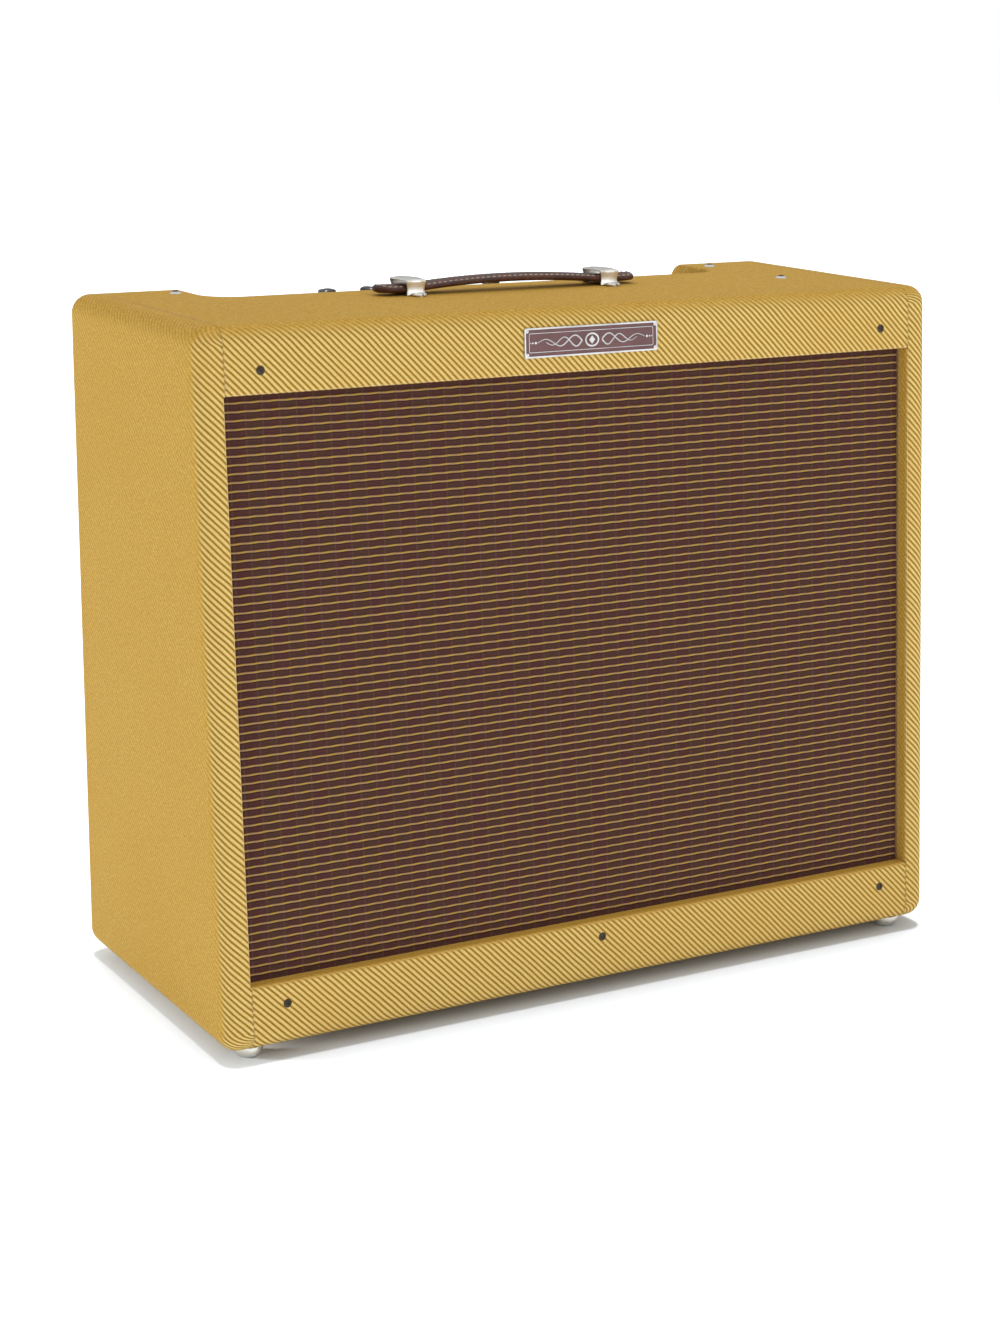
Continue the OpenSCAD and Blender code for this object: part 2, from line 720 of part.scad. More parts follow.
module valve_plates() color([0.35, 0.35, 0.37]) cab() {
    for (v = octal_x) translate([v[0], deck_y, ch_bot - socket_drop - octal_base_h - 1])
        plate_stack(v[1] - glass_t, v[2] * 0.6, 10);
    for (x = noval_x) translate([x, deck_y, ch_bot - socket_drop]) plate_stack(9, 26, 8);
}

module circuit_board() color([0.15, 0.13, 0.12]) cab() {
    slab(board[0], board[1], [board_z, board_z + 2]);
    for (x = [board[0][0] + 6, board[0][1] - 6], y = [board[1][0] + 6, board[1][1] - 6])
        translate([x, y, ch_deck]) cylinder(r = 3, h = board_z - ch_deck + 1);
}

// A round part lying along the depth from y, with its lowest line just over the board.
module lying_part(x, y, z, r, l) translate([x, y, z]) rotate([-90, 0, 0]) cylinder(r = r, h = l);

// Capacitors with resistors between them on the board, and three cans on the deck.
module circuit_parts() color([0.75, 0.6, 0.2]) cab() {
    for (k = [0:part_n - 1]) {
        x = board[0][0] + 18 + k * part_pitch;
        lying_part(x, 158, board_z + 6.6, 4.4, 26);
        for (y = [156, 176]) lying_part(x + part_pitch / 2, y, board_z + 4, 1.8, 11);
    }
    for (x = can_x) lying_part(x, 132, ch_deck + 13, 12, 62);
}

// ---- loudspeakers ----

module at_speaker_bolts()
    for (a = [45:90:315]) rotate([0, 0, a]) translate([spk_bolt_r, 0, 0]) children();

module basket() color("slategray") difference() {
    rotate_extrude() polygon([
        [hole_r - 2, 2], [spk_r, 2], [spk_r, 6], [spk_r - 1.5, 6], [spk_r - 1.5, 3.5],
        [hole_r + 0.5, 3.5], [hole_r - 1, 14], [shelf_r + 1, shelf_z + 1.5],
        [shelf_r - 9, shelf_z + 1.5],
        [54, plate_z], [24, plate_z], [24, plate_z - 1.5], [53, plate_z - 1.5],
        [shelf_r - 11, shelf_z], [shelf_r, shelf_z], [hole_r - 2.5, 13]
    ]);
    for (a = [0:60:300]) rotate([0, 0, a - 21])
        rotate_extrude(angle = 42) translate([shelf_r + 6, 15.5]) square([57, 45]);
    at_speaker_bolts() cylinder(r = screw_r + screw_gap, h = 8);
}

// Top plate and yoke under one bell cover, with the ring gap for the voice coil.
module magnet() color([0.2, 0.2, 0.22]) rotate_extrude() polygon([
    [0, plate_z], [coil_r - 1, plate_z], [coil_r - 1, plate_z + 20], [coil_r + 2, plate_z + 20],
    [coil_r + 2, plate_z], [50, plate_z], [50, plate_z + 6], [47, plate_z + 7],
    [46, plate_z + 40], [43, plate_z + 46], [36, plate_z + 49], [0, plate_z + 49]
]);

module cone() color([0.18, 0.15, 0.14]) {
    rotate_extrude() polygon([
        [cone_r, cone_z], [cone_r, cone_z + 1], [throat_r + 14, throat_z - 5],
        [throat_r, throat_z + 1], [throat_r, throat_z - 0.2], [throat_r + 14, throat_z - 6.2]
    ]);
    translate([0, 0, throat_z - 0.5]) ring(throat_r - 0.4, coil_r, 32);
    translate([0, 0, throat_z - 0.5]) ring(throat_r + 0.2, throat_r - 0.6, 1.5);
}

// The cone's front face at a given radius outside the throat.
function cone_front(r) = cone_z + (cone_r - r) / (cone_r - throat_r - 14) * (throat_z - 6.2 - cone_z);

module dust_cap() color([0.15, 0.13, 0.12]) {
    cap_r = 40;
    cap_h = 11;
    dome_r = (cap_r * cap_r + cap_h * cap_h) / (2 * cap_h);
    translate([0, 0, cone_front(cap_r) - 0.6]) difference() {
        intersection() {
            translate([0, 0, dome_r - cap_h]) sphere(dome_r);
            translate([0, 0, -cap_h - 1]) cylinder(r = cap_r, h = cap_h + 1);
        }
        translate([0, 0, dome_r - cap_h]) sphere(dome_r - 0.8);
    }
}

// Three rolls between the cone's rim and the frame.
module surround() {
    r_in = cone_r + 0.2;
    r_out = hole_r - 2;
    steps = 18;
    pts = [for (k = [0:steps]) [
        r_in + (r_out - r_in) * k / steps,
        cone_z + (1.4 - cone_z) * k / steps - 1.6 * sin(360 * 2.5 * k / steps) * sin(180 * k / steps)
    ]];
    rotate_extrude() polygon(concat(
        pts, [[144, 1.4], [144, 2], [r_out, 2]],
        [for (k = [steps - 1:-1:0]) pts[k] + [0, 0.7]]
    ));
}

module surrounds() color([0.12, 0.1, 0.1]) for (at = [spk_low, spk_high]) speaker(at) surround();

module spider() {
    r_in = throat_r - 0.3;
    r_out = shelf_r - 6;
    steps = 20;
    pts = [for (k = [0:steps]) [
        r_in + (r_out - r_in) * k / steps, shelf_z - 1 - 1.2 * sin(360 * 5 * k / steps) * sin(180 * k / steps)
    ]];
    rotate_extrude() polygon(concat(pts, [for (k = [steps:-1:0]) pts[k] + [0, 0.7]]));
}

module spiders() color([0.65, 0.45, 0.2]) for (at = [spk_low, spk_high]) speaker(at) spider();

module gasket() difference() {
    rotate_extrude() polygon([
        [hole_r - 2, 0], [spk_r, 0], [spk_r, 2], [144.3, 2], [144.3, 1.4], [hole_r - 2, 1.4]
    ]);
    translate([0, 0, -1]) at_speaker_bolts() cylinder(r = screw_r + screw_gap, h = 8);
}

module speaker_gaskets() color([0.5, 0.4, 0.3]) for (at = [spk_low, spk_high]) speaker(at) gasket();

module speaker_bolts() color("silver")
    for (at = [spk_low, spk_high]) speaker(at) at_speaker_bolts() {
        translate([0, 0, 1 - baffle_t + 0.5]) cylinder(r = screw_r, h = baffle_t + 9);
        translate([0, 0, 3.5]) rotate([0, 0, 30]) hex_nut(7.8, screw_r - 0.05, 3.2);
    }

// ---- internal speaker lead ----

// The lead hangs from its plug to one loudspeaker's terminals, and a jumper droops on to
// the other's. A tube follows each path of points.
function unit(v) = v / norm(v);
function along(p, k) = unit(p[min(k + 1, len(p) - 1)] - p[max(k - 1, 0)]);
function side_of(t) = unit(cross(t, [0.3, 1, 0.1]));

module tube(p, r) {
    n = lead_sides;
    pts = [for (k = [0:len(p) - 1]) let (t = along(p, k), u = side_of(t), v = cross(t, u))
        for (j = [0:n - 1]) p[k] + r * (cos(360 * j / n) * u + sin(360 * j / n) * v)];
    walls = [for (k = [0:len(p) - 2], j = [0:n - 1]) [
        k * n + j, (k + 1) * n + j, (k + 1) * n + (j + 1) % n, k * n + (j + 1) % n
    ]];
    polyhedron(points = pts, faces = concat(
        [[for (j = [0:n - 1]) j]], walls, [[for (j = [n - 1:-1:0]) (len(p) - 1) * n + j]]
    ));
}

module speaker_lead() color([0.1, 0.1, 0.1]) cab() {
    tube(lead_path, lead_r);
    tube(jumper_path, lead_r);
    translate([spk_jack[0], spk_jack[1], 0]) {
        translate([0, 0, 386]) cylinder(r1 = 4.2, r2 = 6.2, h = 12);
        translate([0, 0, 398]) cylinder(r = 6.2, h = 22.6);
        translate([0, 0, 420]) cylinder(r = plug_r - 0.08, h = 28);
    }
}

side_board(-1);  // side_board_left
side_board(1);  // side_board_right
end_board([top_under, cab_h], true);  // top_board
end_board([0, floor_top], false);  // bottom_board
front_panel([open_hi + skin, cab_h]);  // upper_front_panel
front_panel([0, open_lo - skin]);  // lower_front_panel
tweed_covering();
baffle_board();
grille_cloth();
back_panel(upper_back);  // upper_back_panel
back_panel(lower_back);  // lower_back_panel
back_cleats();
baffle_bolts();
baffle_tnuts();
chassis_bolts();
back_panel_screws();
glides();
nameplate();
handle_strap();
handle_clamps();
clamp_screws();
chassis();
pot_bodies();
panel_nuts();
pointer_knob(0);  // knob_bright_volume
pointer_knob(1);  // knob_normal_volume
pointer_knob(2);  // knob_treble
pointer_knob(3);  // knob_bass
pointer_knob(4);  // knob_presence
switch_bodies();
toggle_lever(power_x);  // power_lever
toggle_lever(standby_x);  // standby_lever
fuse_holder();
fuse_cap();
pilot_holder();
pilot_jewel();
input_jacks();
mains_inlet();
speaker_jack();
speaker_lead();
power_transformer();
output_transformer();
valve_sockets();
valve_bases();
valve_envelopes();
valve_plates();
circuit_board();
circuit_parts();
speaker(spk_low) basket();  // basket_low
speaker(spk_high) basket();  // basket_high
speaker(spk_low) magnet();  // magnet_low
speaker(spk_high) magnet();  // magnet_high
speaker(spk_low) cone();  // cone_low
speaker(spk_high) cone();  // cone_high
speaker(spk_low) dust_cap();  // dust_cap_low
speaker(spk_high) dust_cap();  // dust_cap_high
surrounds();
spiders();
speaker_gaskets();
speaker_bolts();
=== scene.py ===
"""The looks of a tweed-covered valve guitar amplifier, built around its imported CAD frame."""

import json
import math
from random import Random

import bmesh
import bpy
from mathutils import Matrix, Vector
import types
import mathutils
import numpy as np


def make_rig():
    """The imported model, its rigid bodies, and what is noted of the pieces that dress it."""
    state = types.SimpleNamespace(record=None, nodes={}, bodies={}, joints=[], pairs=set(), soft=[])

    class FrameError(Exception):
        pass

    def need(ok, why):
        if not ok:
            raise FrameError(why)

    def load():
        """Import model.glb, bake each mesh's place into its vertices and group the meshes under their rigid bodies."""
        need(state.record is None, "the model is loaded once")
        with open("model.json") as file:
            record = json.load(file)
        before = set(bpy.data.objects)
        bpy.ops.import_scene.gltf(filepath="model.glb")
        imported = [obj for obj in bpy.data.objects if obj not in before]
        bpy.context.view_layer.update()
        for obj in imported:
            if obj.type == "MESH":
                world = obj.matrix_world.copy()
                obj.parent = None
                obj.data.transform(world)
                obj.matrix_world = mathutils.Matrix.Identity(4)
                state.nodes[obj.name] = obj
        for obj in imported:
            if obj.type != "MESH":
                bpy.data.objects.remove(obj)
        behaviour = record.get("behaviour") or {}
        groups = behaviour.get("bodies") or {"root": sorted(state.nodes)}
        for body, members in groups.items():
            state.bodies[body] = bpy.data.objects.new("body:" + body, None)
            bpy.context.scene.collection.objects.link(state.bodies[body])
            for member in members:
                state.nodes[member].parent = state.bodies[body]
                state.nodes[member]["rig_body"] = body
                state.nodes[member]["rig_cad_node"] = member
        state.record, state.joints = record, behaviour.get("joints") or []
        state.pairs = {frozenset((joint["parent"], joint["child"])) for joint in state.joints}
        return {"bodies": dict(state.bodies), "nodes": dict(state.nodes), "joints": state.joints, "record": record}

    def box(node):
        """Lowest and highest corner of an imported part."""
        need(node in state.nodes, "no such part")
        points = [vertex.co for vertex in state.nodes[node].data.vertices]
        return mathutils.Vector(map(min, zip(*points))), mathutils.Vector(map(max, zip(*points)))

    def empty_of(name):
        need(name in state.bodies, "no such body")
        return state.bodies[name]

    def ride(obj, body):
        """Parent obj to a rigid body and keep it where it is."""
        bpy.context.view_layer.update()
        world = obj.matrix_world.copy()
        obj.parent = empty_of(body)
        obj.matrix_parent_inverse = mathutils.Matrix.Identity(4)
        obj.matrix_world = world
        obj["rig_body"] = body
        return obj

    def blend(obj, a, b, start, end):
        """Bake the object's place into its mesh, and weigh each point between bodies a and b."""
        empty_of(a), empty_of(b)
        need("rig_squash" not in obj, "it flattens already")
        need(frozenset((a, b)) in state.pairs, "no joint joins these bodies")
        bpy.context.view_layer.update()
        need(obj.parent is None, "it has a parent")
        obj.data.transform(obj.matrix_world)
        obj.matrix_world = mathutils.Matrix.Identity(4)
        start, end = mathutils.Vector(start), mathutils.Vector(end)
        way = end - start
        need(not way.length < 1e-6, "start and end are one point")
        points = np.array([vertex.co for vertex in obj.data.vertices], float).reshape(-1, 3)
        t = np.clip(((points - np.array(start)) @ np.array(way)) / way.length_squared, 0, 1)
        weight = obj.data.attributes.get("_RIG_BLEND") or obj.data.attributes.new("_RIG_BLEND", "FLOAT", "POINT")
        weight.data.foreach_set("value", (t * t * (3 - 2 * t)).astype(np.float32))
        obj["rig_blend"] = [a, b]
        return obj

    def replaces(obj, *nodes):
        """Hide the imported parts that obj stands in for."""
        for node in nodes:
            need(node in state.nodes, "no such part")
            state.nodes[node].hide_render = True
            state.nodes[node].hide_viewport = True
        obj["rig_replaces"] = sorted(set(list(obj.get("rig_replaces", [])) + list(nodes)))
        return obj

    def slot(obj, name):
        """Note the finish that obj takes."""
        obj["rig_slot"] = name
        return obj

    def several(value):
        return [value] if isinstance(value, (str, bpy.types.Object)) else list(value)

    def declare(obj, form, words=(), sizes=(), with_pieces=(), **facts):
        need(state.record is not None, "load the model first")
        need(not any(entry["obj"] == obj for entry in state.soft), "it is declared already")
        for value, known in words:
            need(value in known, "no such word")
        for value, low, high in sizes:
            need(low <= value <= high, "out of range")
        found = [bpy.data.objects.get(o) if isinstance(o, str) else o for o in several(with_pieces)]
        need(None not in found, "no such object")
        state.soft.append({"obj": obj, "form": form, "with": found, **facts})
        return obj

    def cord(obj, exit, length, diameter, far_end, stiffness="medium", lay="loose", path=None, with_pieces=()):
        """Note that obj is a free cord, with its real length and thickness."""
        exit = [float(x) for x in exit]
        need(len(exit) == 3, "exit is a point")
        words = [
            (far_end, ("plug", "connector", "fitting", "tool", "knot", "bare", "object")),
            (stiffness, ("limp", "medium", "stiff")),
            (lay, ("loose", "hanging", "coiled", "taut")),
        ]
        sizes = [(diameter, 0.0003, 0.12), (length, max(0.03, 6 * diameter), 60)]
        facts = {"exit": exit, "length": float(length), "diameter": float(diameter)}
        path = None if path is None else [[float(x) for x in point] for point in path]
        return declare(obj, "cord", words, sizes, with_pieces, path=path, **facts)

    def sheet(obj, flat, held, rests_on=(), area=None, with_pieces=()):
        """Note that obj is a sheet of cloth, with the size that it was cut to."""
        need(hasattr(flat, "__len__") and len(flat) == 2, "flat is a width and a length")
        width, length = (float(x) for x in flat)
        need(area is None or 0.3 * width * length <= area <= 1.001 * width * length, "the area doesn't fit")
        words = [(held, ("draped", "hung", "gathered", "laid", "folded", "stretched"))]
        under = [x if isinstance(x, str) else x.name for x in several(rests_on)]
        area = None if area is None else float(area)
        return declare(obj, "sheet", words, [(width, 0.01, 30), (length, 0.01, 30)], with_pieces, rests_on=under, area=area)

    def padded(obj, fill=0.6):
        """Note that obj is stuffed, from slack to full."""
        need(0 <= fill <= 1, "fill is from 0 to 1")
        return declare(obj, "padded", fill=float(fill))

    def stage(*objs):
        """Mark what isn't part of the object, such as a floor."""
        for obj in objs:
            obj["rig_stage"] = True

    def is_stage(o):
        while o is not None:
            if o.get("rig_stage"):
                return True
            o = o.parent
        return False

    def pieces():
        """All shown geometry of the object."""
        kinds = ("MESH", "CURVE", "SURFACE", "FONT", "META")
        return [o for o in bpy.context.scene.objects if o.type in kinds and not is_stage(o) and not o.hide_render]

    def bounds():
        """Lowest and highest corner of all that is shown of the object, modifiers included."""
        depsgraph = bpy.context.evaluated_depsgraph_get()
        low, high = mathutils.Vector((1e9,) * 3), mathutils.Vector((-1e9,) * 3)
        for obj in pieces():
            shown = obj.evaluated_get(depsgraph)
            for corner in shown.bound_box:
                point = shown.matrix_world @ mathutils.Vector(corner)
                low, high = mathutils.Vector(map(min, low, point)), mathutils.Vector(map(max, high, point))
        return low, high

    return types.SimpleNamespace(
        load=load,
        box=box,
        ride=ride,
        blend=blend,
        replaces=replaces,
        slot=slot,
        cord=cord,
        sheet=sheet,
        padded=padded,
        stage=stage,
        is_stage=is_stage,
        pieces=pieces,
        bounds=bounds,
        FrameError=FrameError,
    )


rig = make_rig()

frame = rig.load()
cad_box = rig.bounds()
NODES = frame["nodes"]
MM = 0.001

# ---- sizes in metres: boxes from the frame, and the object's own measures ----

cover_lo, cover_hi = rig.box("tweed_covering")
LID_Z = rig.box("top_board")[0].z
SOLE_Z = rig.box("bottom_board")[1].z
GRILLE_INSET = 0.2 * MM
GRILLE_W = 2 * (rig.box("grille_cloth")[1].x - GRILLE_INSET)

EDGE_R = 14 * MM
LEAN = 34.7 * MM
HEIGHT = 510 * MM
DEPTH = 273 * MM
REVEAL = 12 * MM
OPEN_LO = 49 * MM
OPEN_HI = 463.7 * MM
OPENING = OPEN_LO, OPEN_HI
CLOTH = 0.8 * MM
SEAM_GAP = 0.15 * MM

HALF_W = cover_hi.x
FLOOR_Z = cover_lo.z
TOP_Z = cover_hi.z
REAR_Y = cover_hi.y
FRONT_Y = REAR_Y - DEPTH
TILT = math.atan(LEAN / HEIGHT)
SIN_T, COS_T = math.sin(TILT), math.cos(TILT)
SEAM_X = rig.box("side_board_right")[0].x - CLOTH
AHEAD = Vector((-COS_T, SIN_T))
OUTWARD = Vector((0, *AHEAD))
UPWARD = Vector((0, 0, 1))


def front(x, v, w):
    """A point given across, into and up the leaning front."""
    return Vector((x, FRONT_Y + v * COS_T + w * SIN_T, FLOOR_Z - v * SIN_T + w * COS_T))


def heading(degrees):
    """The flat direction at an angle."""
    a = math.radians(degrees)
    return Vector((math.cos(a), math.sin(a)))


def lean_y(z):
    """Where the front edge's rounding has its centre, at a height above the underside."""
    return FRONT_Y + (EDGE_R + z * SIN_T) / COS_T


# ---- materials ----


class Graph:
    """Short-hand for one material's nodes: numbers, colours and sockets all go in as inputs."""

    def __init__(self, name):
        self.material = bpy.data.materials.new(name)
        self.material.use_nodes = True
        self.tree = self.material.node_tree
        self.tree.nodes.clear()
        out = self.tree.nodes.new("ShaderNodeOutputMaterial")
        self.shader = self.tree.nodes.new("ShaderNodeBsdfPrincipled")
        self.tree.links.new(self.shader.outputs[0], out.inputs["Surface"])
        self.place = self.node("TexCoord", 3)

    def put(self, socket, value):
        if isinstance(value, bpy.types.NodeSocket):
            self.tree.links.new(value, socket)
        elif isinstance(value, tuple) and len(value) == 3 and socket.type == "RGBA":
            socket.default_value = (*value, 1)
        else:
            socket.default_value = value

    def set(self, **inputs):
        for name, value in inputs.items():
            self.put(self.shader.inputs[name.replace("_", " ")], value)
        return self

    def node(self, kind, out=0, inputs=(), **settings):
        n = self.tree.nodes.new("ShaderNode" + kind)
        for name, value in settings.items():
            setattr(n, name, value)
        for key, value in dict(inputs).items():
            self.put(n.inputs[key], value)
        return n.outputs[out]

    def math(self, op, a, b=0.0, c=0.0):
        return self.node("Math", operation=op, inputs={0: a, 1: b, 2: c})

    def add(self, a, b):
        return self.math("ADD", a, b)

    def sub(self, a, b):
        return self.math("SUBTRACT", a, b)

    def mul(self, a, b):
        return self.math("MULTIPLY", a, b)

    def wave(self, phase):
        """A ridge that runs from 0 to 1 and back once for each unit of phase."""
        return self.math("MULTIPLY_ADD", self.math("COSINE", self.mul(phase, math.tau)), 0.5, 0.5)

    def step(self, value, low, high, to_low=0.0, to_high=1.0):
        return self.node(
            "MapRange", interpolation_type="SMOOTHSTEP",
            inputs={0: value, 1: low, 2: high, 3: to_low, 4: to_high},
        )

    def mix(self, factor, a, b):
        return self.node("Mix", 2, {0: factor, 6: a, 7: b}, data_type="RGBA")

    def layers(self, colour, *over):
        """Lays colours over a first one, each by its own factor."""
        for factor, top in over:
            colour = self.mix(factor, colour, top)
        return colour

    def noise(self, scale, detail, rough=0.5, where=None):
        return self.node("TexNoise", inputs={
            "Vector": self.place if where is None else where,
            "Scale": scale, "Detail": detail, "Roughness": rough,
        })

    def stretch(self, scale):
        return self.node("Mapping", inputs={"Vector": self.place, "Scale": scale})

    def split(self, where):
        n = self.tree.nodes.new("ShaderNodeSeparateXYZ")
        self.put(n.inputs[0], where)
        return n.outputs

    def cloth(self, layer="cloth"):
        """The cloth's own flat coordinates in millimetres."""
        uv = self.split(self.node("UVMap", uv_map=layer))
        return self.mul(uv[0], 1000), self.mul(uv[1], 1000)

    def bump(self, height, distance, strength=1.0):
        inputs = {"Height": height, "Distance": distance, "Strength": strength}
        return self.set(Normal=self.node("Bump", inputs=inputs))


def srgb(r, g, b):
    """A colour given as it looks, from 0 to 255."""
    def linear(c):
        c /= 255
        return c / 12.92 if c <= 0.04045 else ((c + 0.055) / 1.055) ** 2.4
    return linear(r), linear(g), linear(b)


TWEED_PITCH = 3.5
TWEED_THREAD = 0.95
TWEED_DRIFT = 0.35
FACING_FADE = 0.55
FACING_GRIT = 0.36
PAINTED_SHADE_AMBER = srgb(198, 146, 22)


def tweed(name, across=None, up=2, turn=1):
    """Lacquered tweed: pale cords at 45 degrees with brown threads between them; faces that look sideways or up get a
    painted shade of darker amber.

    Pieces with no flat coordinates of their own take them from three axes of the part:
    across is an axis and its sign, and the cloth turns over the edges from up to turn.
    """
    g = Graph(name)
    if across is None:
        u, v = g.cloth()
    else:
        xyz = g.split(g.place)
        u = g.mul(xyz[across[0]], across[1] * 1000)
        v = g.mul(g.add(xyz[up], xyz[turn]), 1000)
    across_cords = g.mul(g.add(u, v), 1 / (math.sqrt(2) * TWEED_PITCH))
    along = g.mul(g.sub(u, v), 1 / (math.sqrt(2) * TWEED_THREAD))
    drift = g.sub(g.noise(45, 2), 0.5)
    phase = g.add(across_cords, g.mul(drift, TWEED_DRIFT))
    ridge = g.wave(phase)
    thread = g.wave(g.add(along, g.mul(phase, 0.5)))
    cord = g.step(g.add(ridge, g.mul(thread, 0.12)), 0.26, 0.72)
    # Painted shade: faces that look sideways or up (top, sides, their corners and the lip under the opening) get a
    # darker amber tint and fainter stripes than the front.
    facing = g.split(g.node("TexCoord", 1))
    sideways = g.math("ABSOLUTE", facing[0])
    flat = g.math("MAXIMUM", g.step(sideways, 0.8, 0.985), g.step(facing[2], 0.3, 0.93))
    corner = g.step(g.add(sideways, facing[2]), 0.95, 1.25)
    facing_shade = g.math("MAXIMUM", flat, corner)
    fade = g.math("MULTIPLY_ADD", facing_shade, -FACING_FADE, 1.0)
    cord = g.add(g.mul(g.sub(cord, 0.6), fade), 0.6)
    fibre = g.noise(1300, 3, 0.6)
    patch = g.noise(9, 3, 0.55)
    pale = g.mix(g.step(fibre, 0.3, 0.7), srgb(210, 179, 98), srgb(228, 200, 128))
    pale = g.mix(g.mul(g.step(thread, 0.0, 0.6, 1.0, 0.0), 0.3), pale, srgb(190, 150, 64))
    brown = g.mix(g.step(fibre, 0.3, 0.7), srgb(134, 98, 36), srgb(160, 122, 52))
    grit = g.noise(560, 2, 0.8)
    colour = g.layers(
        g.mix(cord, brown, pale),
        # painted shade: darker amber on the faces that look sideways or up
        (g.mul(facing_shade, 0.5), PAINTED_SHADE_AMBER),
        (g.mul(facing_shade, g.step(grit, 0.5, 0.68, 0.0, FACING_GRIT)), srgb(150, 108, 34)),
        (g.mul(facing_shade, g.step(grit, 0.32, 0.5, FACING_GRIT, 0.0)), srgb(234, 200, 112)),
        (g.step(patch, 0.35, 0.75, 0.0, 0.16), srgb(190, 140, 50)),
    )
    height = g.mul(g.add(g.mul(ridge, 0.8), g.mul(thread, 0.2)), fade)
    g.set(Base_Color=colour, Roughness=g.step(cord, 0.0, 1.0, 0.85, 0.68), Specular_IOR_Level=0.12)
    return g.bump(height, 0.35 * MM, 0.7).material


GRILLE_PITCH = 6.03
GRILLE_BAND = 12.85
GRILLE_DRIFT = 0.045
GRILLE_SWAY = 0.16
GRILLE_TURN = 1.9
WARP_PITCH = 0.64
TWIST_PITCH = 1.3


def row_shift(row):
    """How far the pattern of one row is shifted along it, in bands."""
    return GRILLE_DRIFT * row + GRILLE_SWAY * math.sin(GRILLE_TURN * row)


def grille_weave():
    """Oxblood cloth: fine dark threads in bands, gold cords that wander from row to row, and a painted shadow under
    each cord.
    """
    g = Graph("oxblood_grille")
    u, v = g.cloth()
    row = g.mul(v, 1 / GRILLE_PITCH)
    row_index = g.math("FLOOR", g.add(row, 0.5))
    sway = g.mul(g.math("SINE", g.mul(row_index, GRILLE_TURN)), GRILLE_SWAY)
    shift = g.add(g.mul(row_index, GRILLE_DRIFT), sway)
    off_cord = g.math("ABSOLUTE", g.sub(row, row_index))
    gold = g.step(off_cord, 0.085, 0.13, 1.0, 0.0)
    # Painted shadow: a dark band just below each gold cord.
    below = g.sub(row_index, row)
    shade = g.mul(g.step(below, 0.11, 0.16), g.step(below, 0.2, 0.32, 1.0, 0.0))
    column = g.mul(u, 1 / GRILLE_BAND)
    cell = g.node("CombineXYZ", inputs={
        0: g.math("FLOOR", column), 1: g.math("FLOOR", row), 2: 0.5,
    })
    chance = g.node("TexWhiteNoise", 0, {"Vector": cell}, noise_dimensions="3D")
    parity = g.math("PINGPONG", g.math("FLOOR", column), 1.0)
    hue = g.step(g.add(g.mul(parity, 0.6), g.mul(chance, 0.6)), 0.35, 0.85, 0.12, 0.75)
    ends = g.math("ABSOLUTE", g.sub(g.math("FRACT", g.add(column, 0.5)), 0.5))
    warp = g.step(ends, 0.02, 0.05, 1.0, 0.0)
    thread_h = g.wave(g.mul(v, 6 / GRILLE_PITCH))
    thread_v = g.wave(g.mul(u, 1 / WARP_PITCH))
    speck = g.noise(800, 2, 0.7)
    ground = g.layers(
        g.mix(hue, srgb(82, 45, 42), srgb(78, 54, 40)),
        (g.step(thread_h, 0.1, 0.9, 0.5, 0.0), srgb(42, 24, 20)),
        (g.mul(thread_v, 0.18), srgb(38, 22, 20)),
        (g.mul(g.step(speck, 0.45, 0.75), 0.22), srgb(104, 72, 62)),
        (g.mul(warp, 0.35), srgb(100, 74, 62)),
        # the painted shadow under each cord
        (g.mul(shade, 0.55), srgb(36, 20, 12)),
    )
    turn = g.wave(g.add(column, shift))
    cord = g.mix(g.step(turn, 0.25, 0.75), srgb(160, 126, 88), srgb(172, 138, 62))
    twist = g.wave(g.add(g.mul(u, 1 / TWIST_PITCH), g.mul(row, 4)))
    cord = g.mix(g.mul(twist, 0.3), cord, srgb(112, 80, 38))
    g.set(
        Base_Color=g.mix(gold, ground, cord), Roughness=g.step(gold, 0.0, 1.0, 0.9, 0.6),
        Specular_IOR_Level=0.15,
    )
    weave = g.add(g.mul(thread_h, 0.6), g.mul(thread_v, 0.4))
    height = g.add(g.mul(weave, 0.5), g.mul(gold, g.mul(twist, 0.5)))
    return g.bump(height, 0.18 * MM, 0.7).material


PLATING_GRAIN = 1800
SCRATCH_DEPTH = 0.004 * MM


def metal(name, colour, rough, wear=0.12):
    """Bright plating with fine scratches and a little clouding."""
    g = Graph(name)
    cloud = g.noise(60, 4, 0.6)
    scratch = g.noise(PLATING_GRAIN, 2, 0.6, g.stretch((0.15, 1, 1)))
    dull = tuple(c * 0.72 for c in colour)
    g.set(
        Base_Color=g.mix(g.step(cloud, 0.35, 0.8, 0.0, 1.0), colour, dull),
        Metallic=1.0,
        Roughness=g.step(g.add(cloud, g.mul(scratch, 0.4)), 0.4, 1.0, rough, rough + wear),
    )
    return g.bump(scratch, SCRATCH_DEPTH, 0.35).material


def coated(name, colour, rough, grain=400, depth=0.05, shift=0.25, coat=0.0):
    """Paint or moulded plastic: slight mottling, a fine skin and softer worn highlights."""
    g = Graph(name)
    mottle = g.noise(70, 4, 0.6)
    skin = g.noise(grain, 3, 0.6)
    light = tuple(min(1.0, c * (1 + shift) + 0.01) for c in colour)
    g.set(
        Base_Color=g.mix(g.step(mottle, 0.3, 0.75), colour, light),
        Roughness=g.step(mottle, 0.3, 0.8, rough, rough + 0.15),
        Coat_Weight=coat, Coat_Roughness=0.15,
    )
    return g.bump(skin, depth * MM, 0.6).material


RING_SPACING = 26


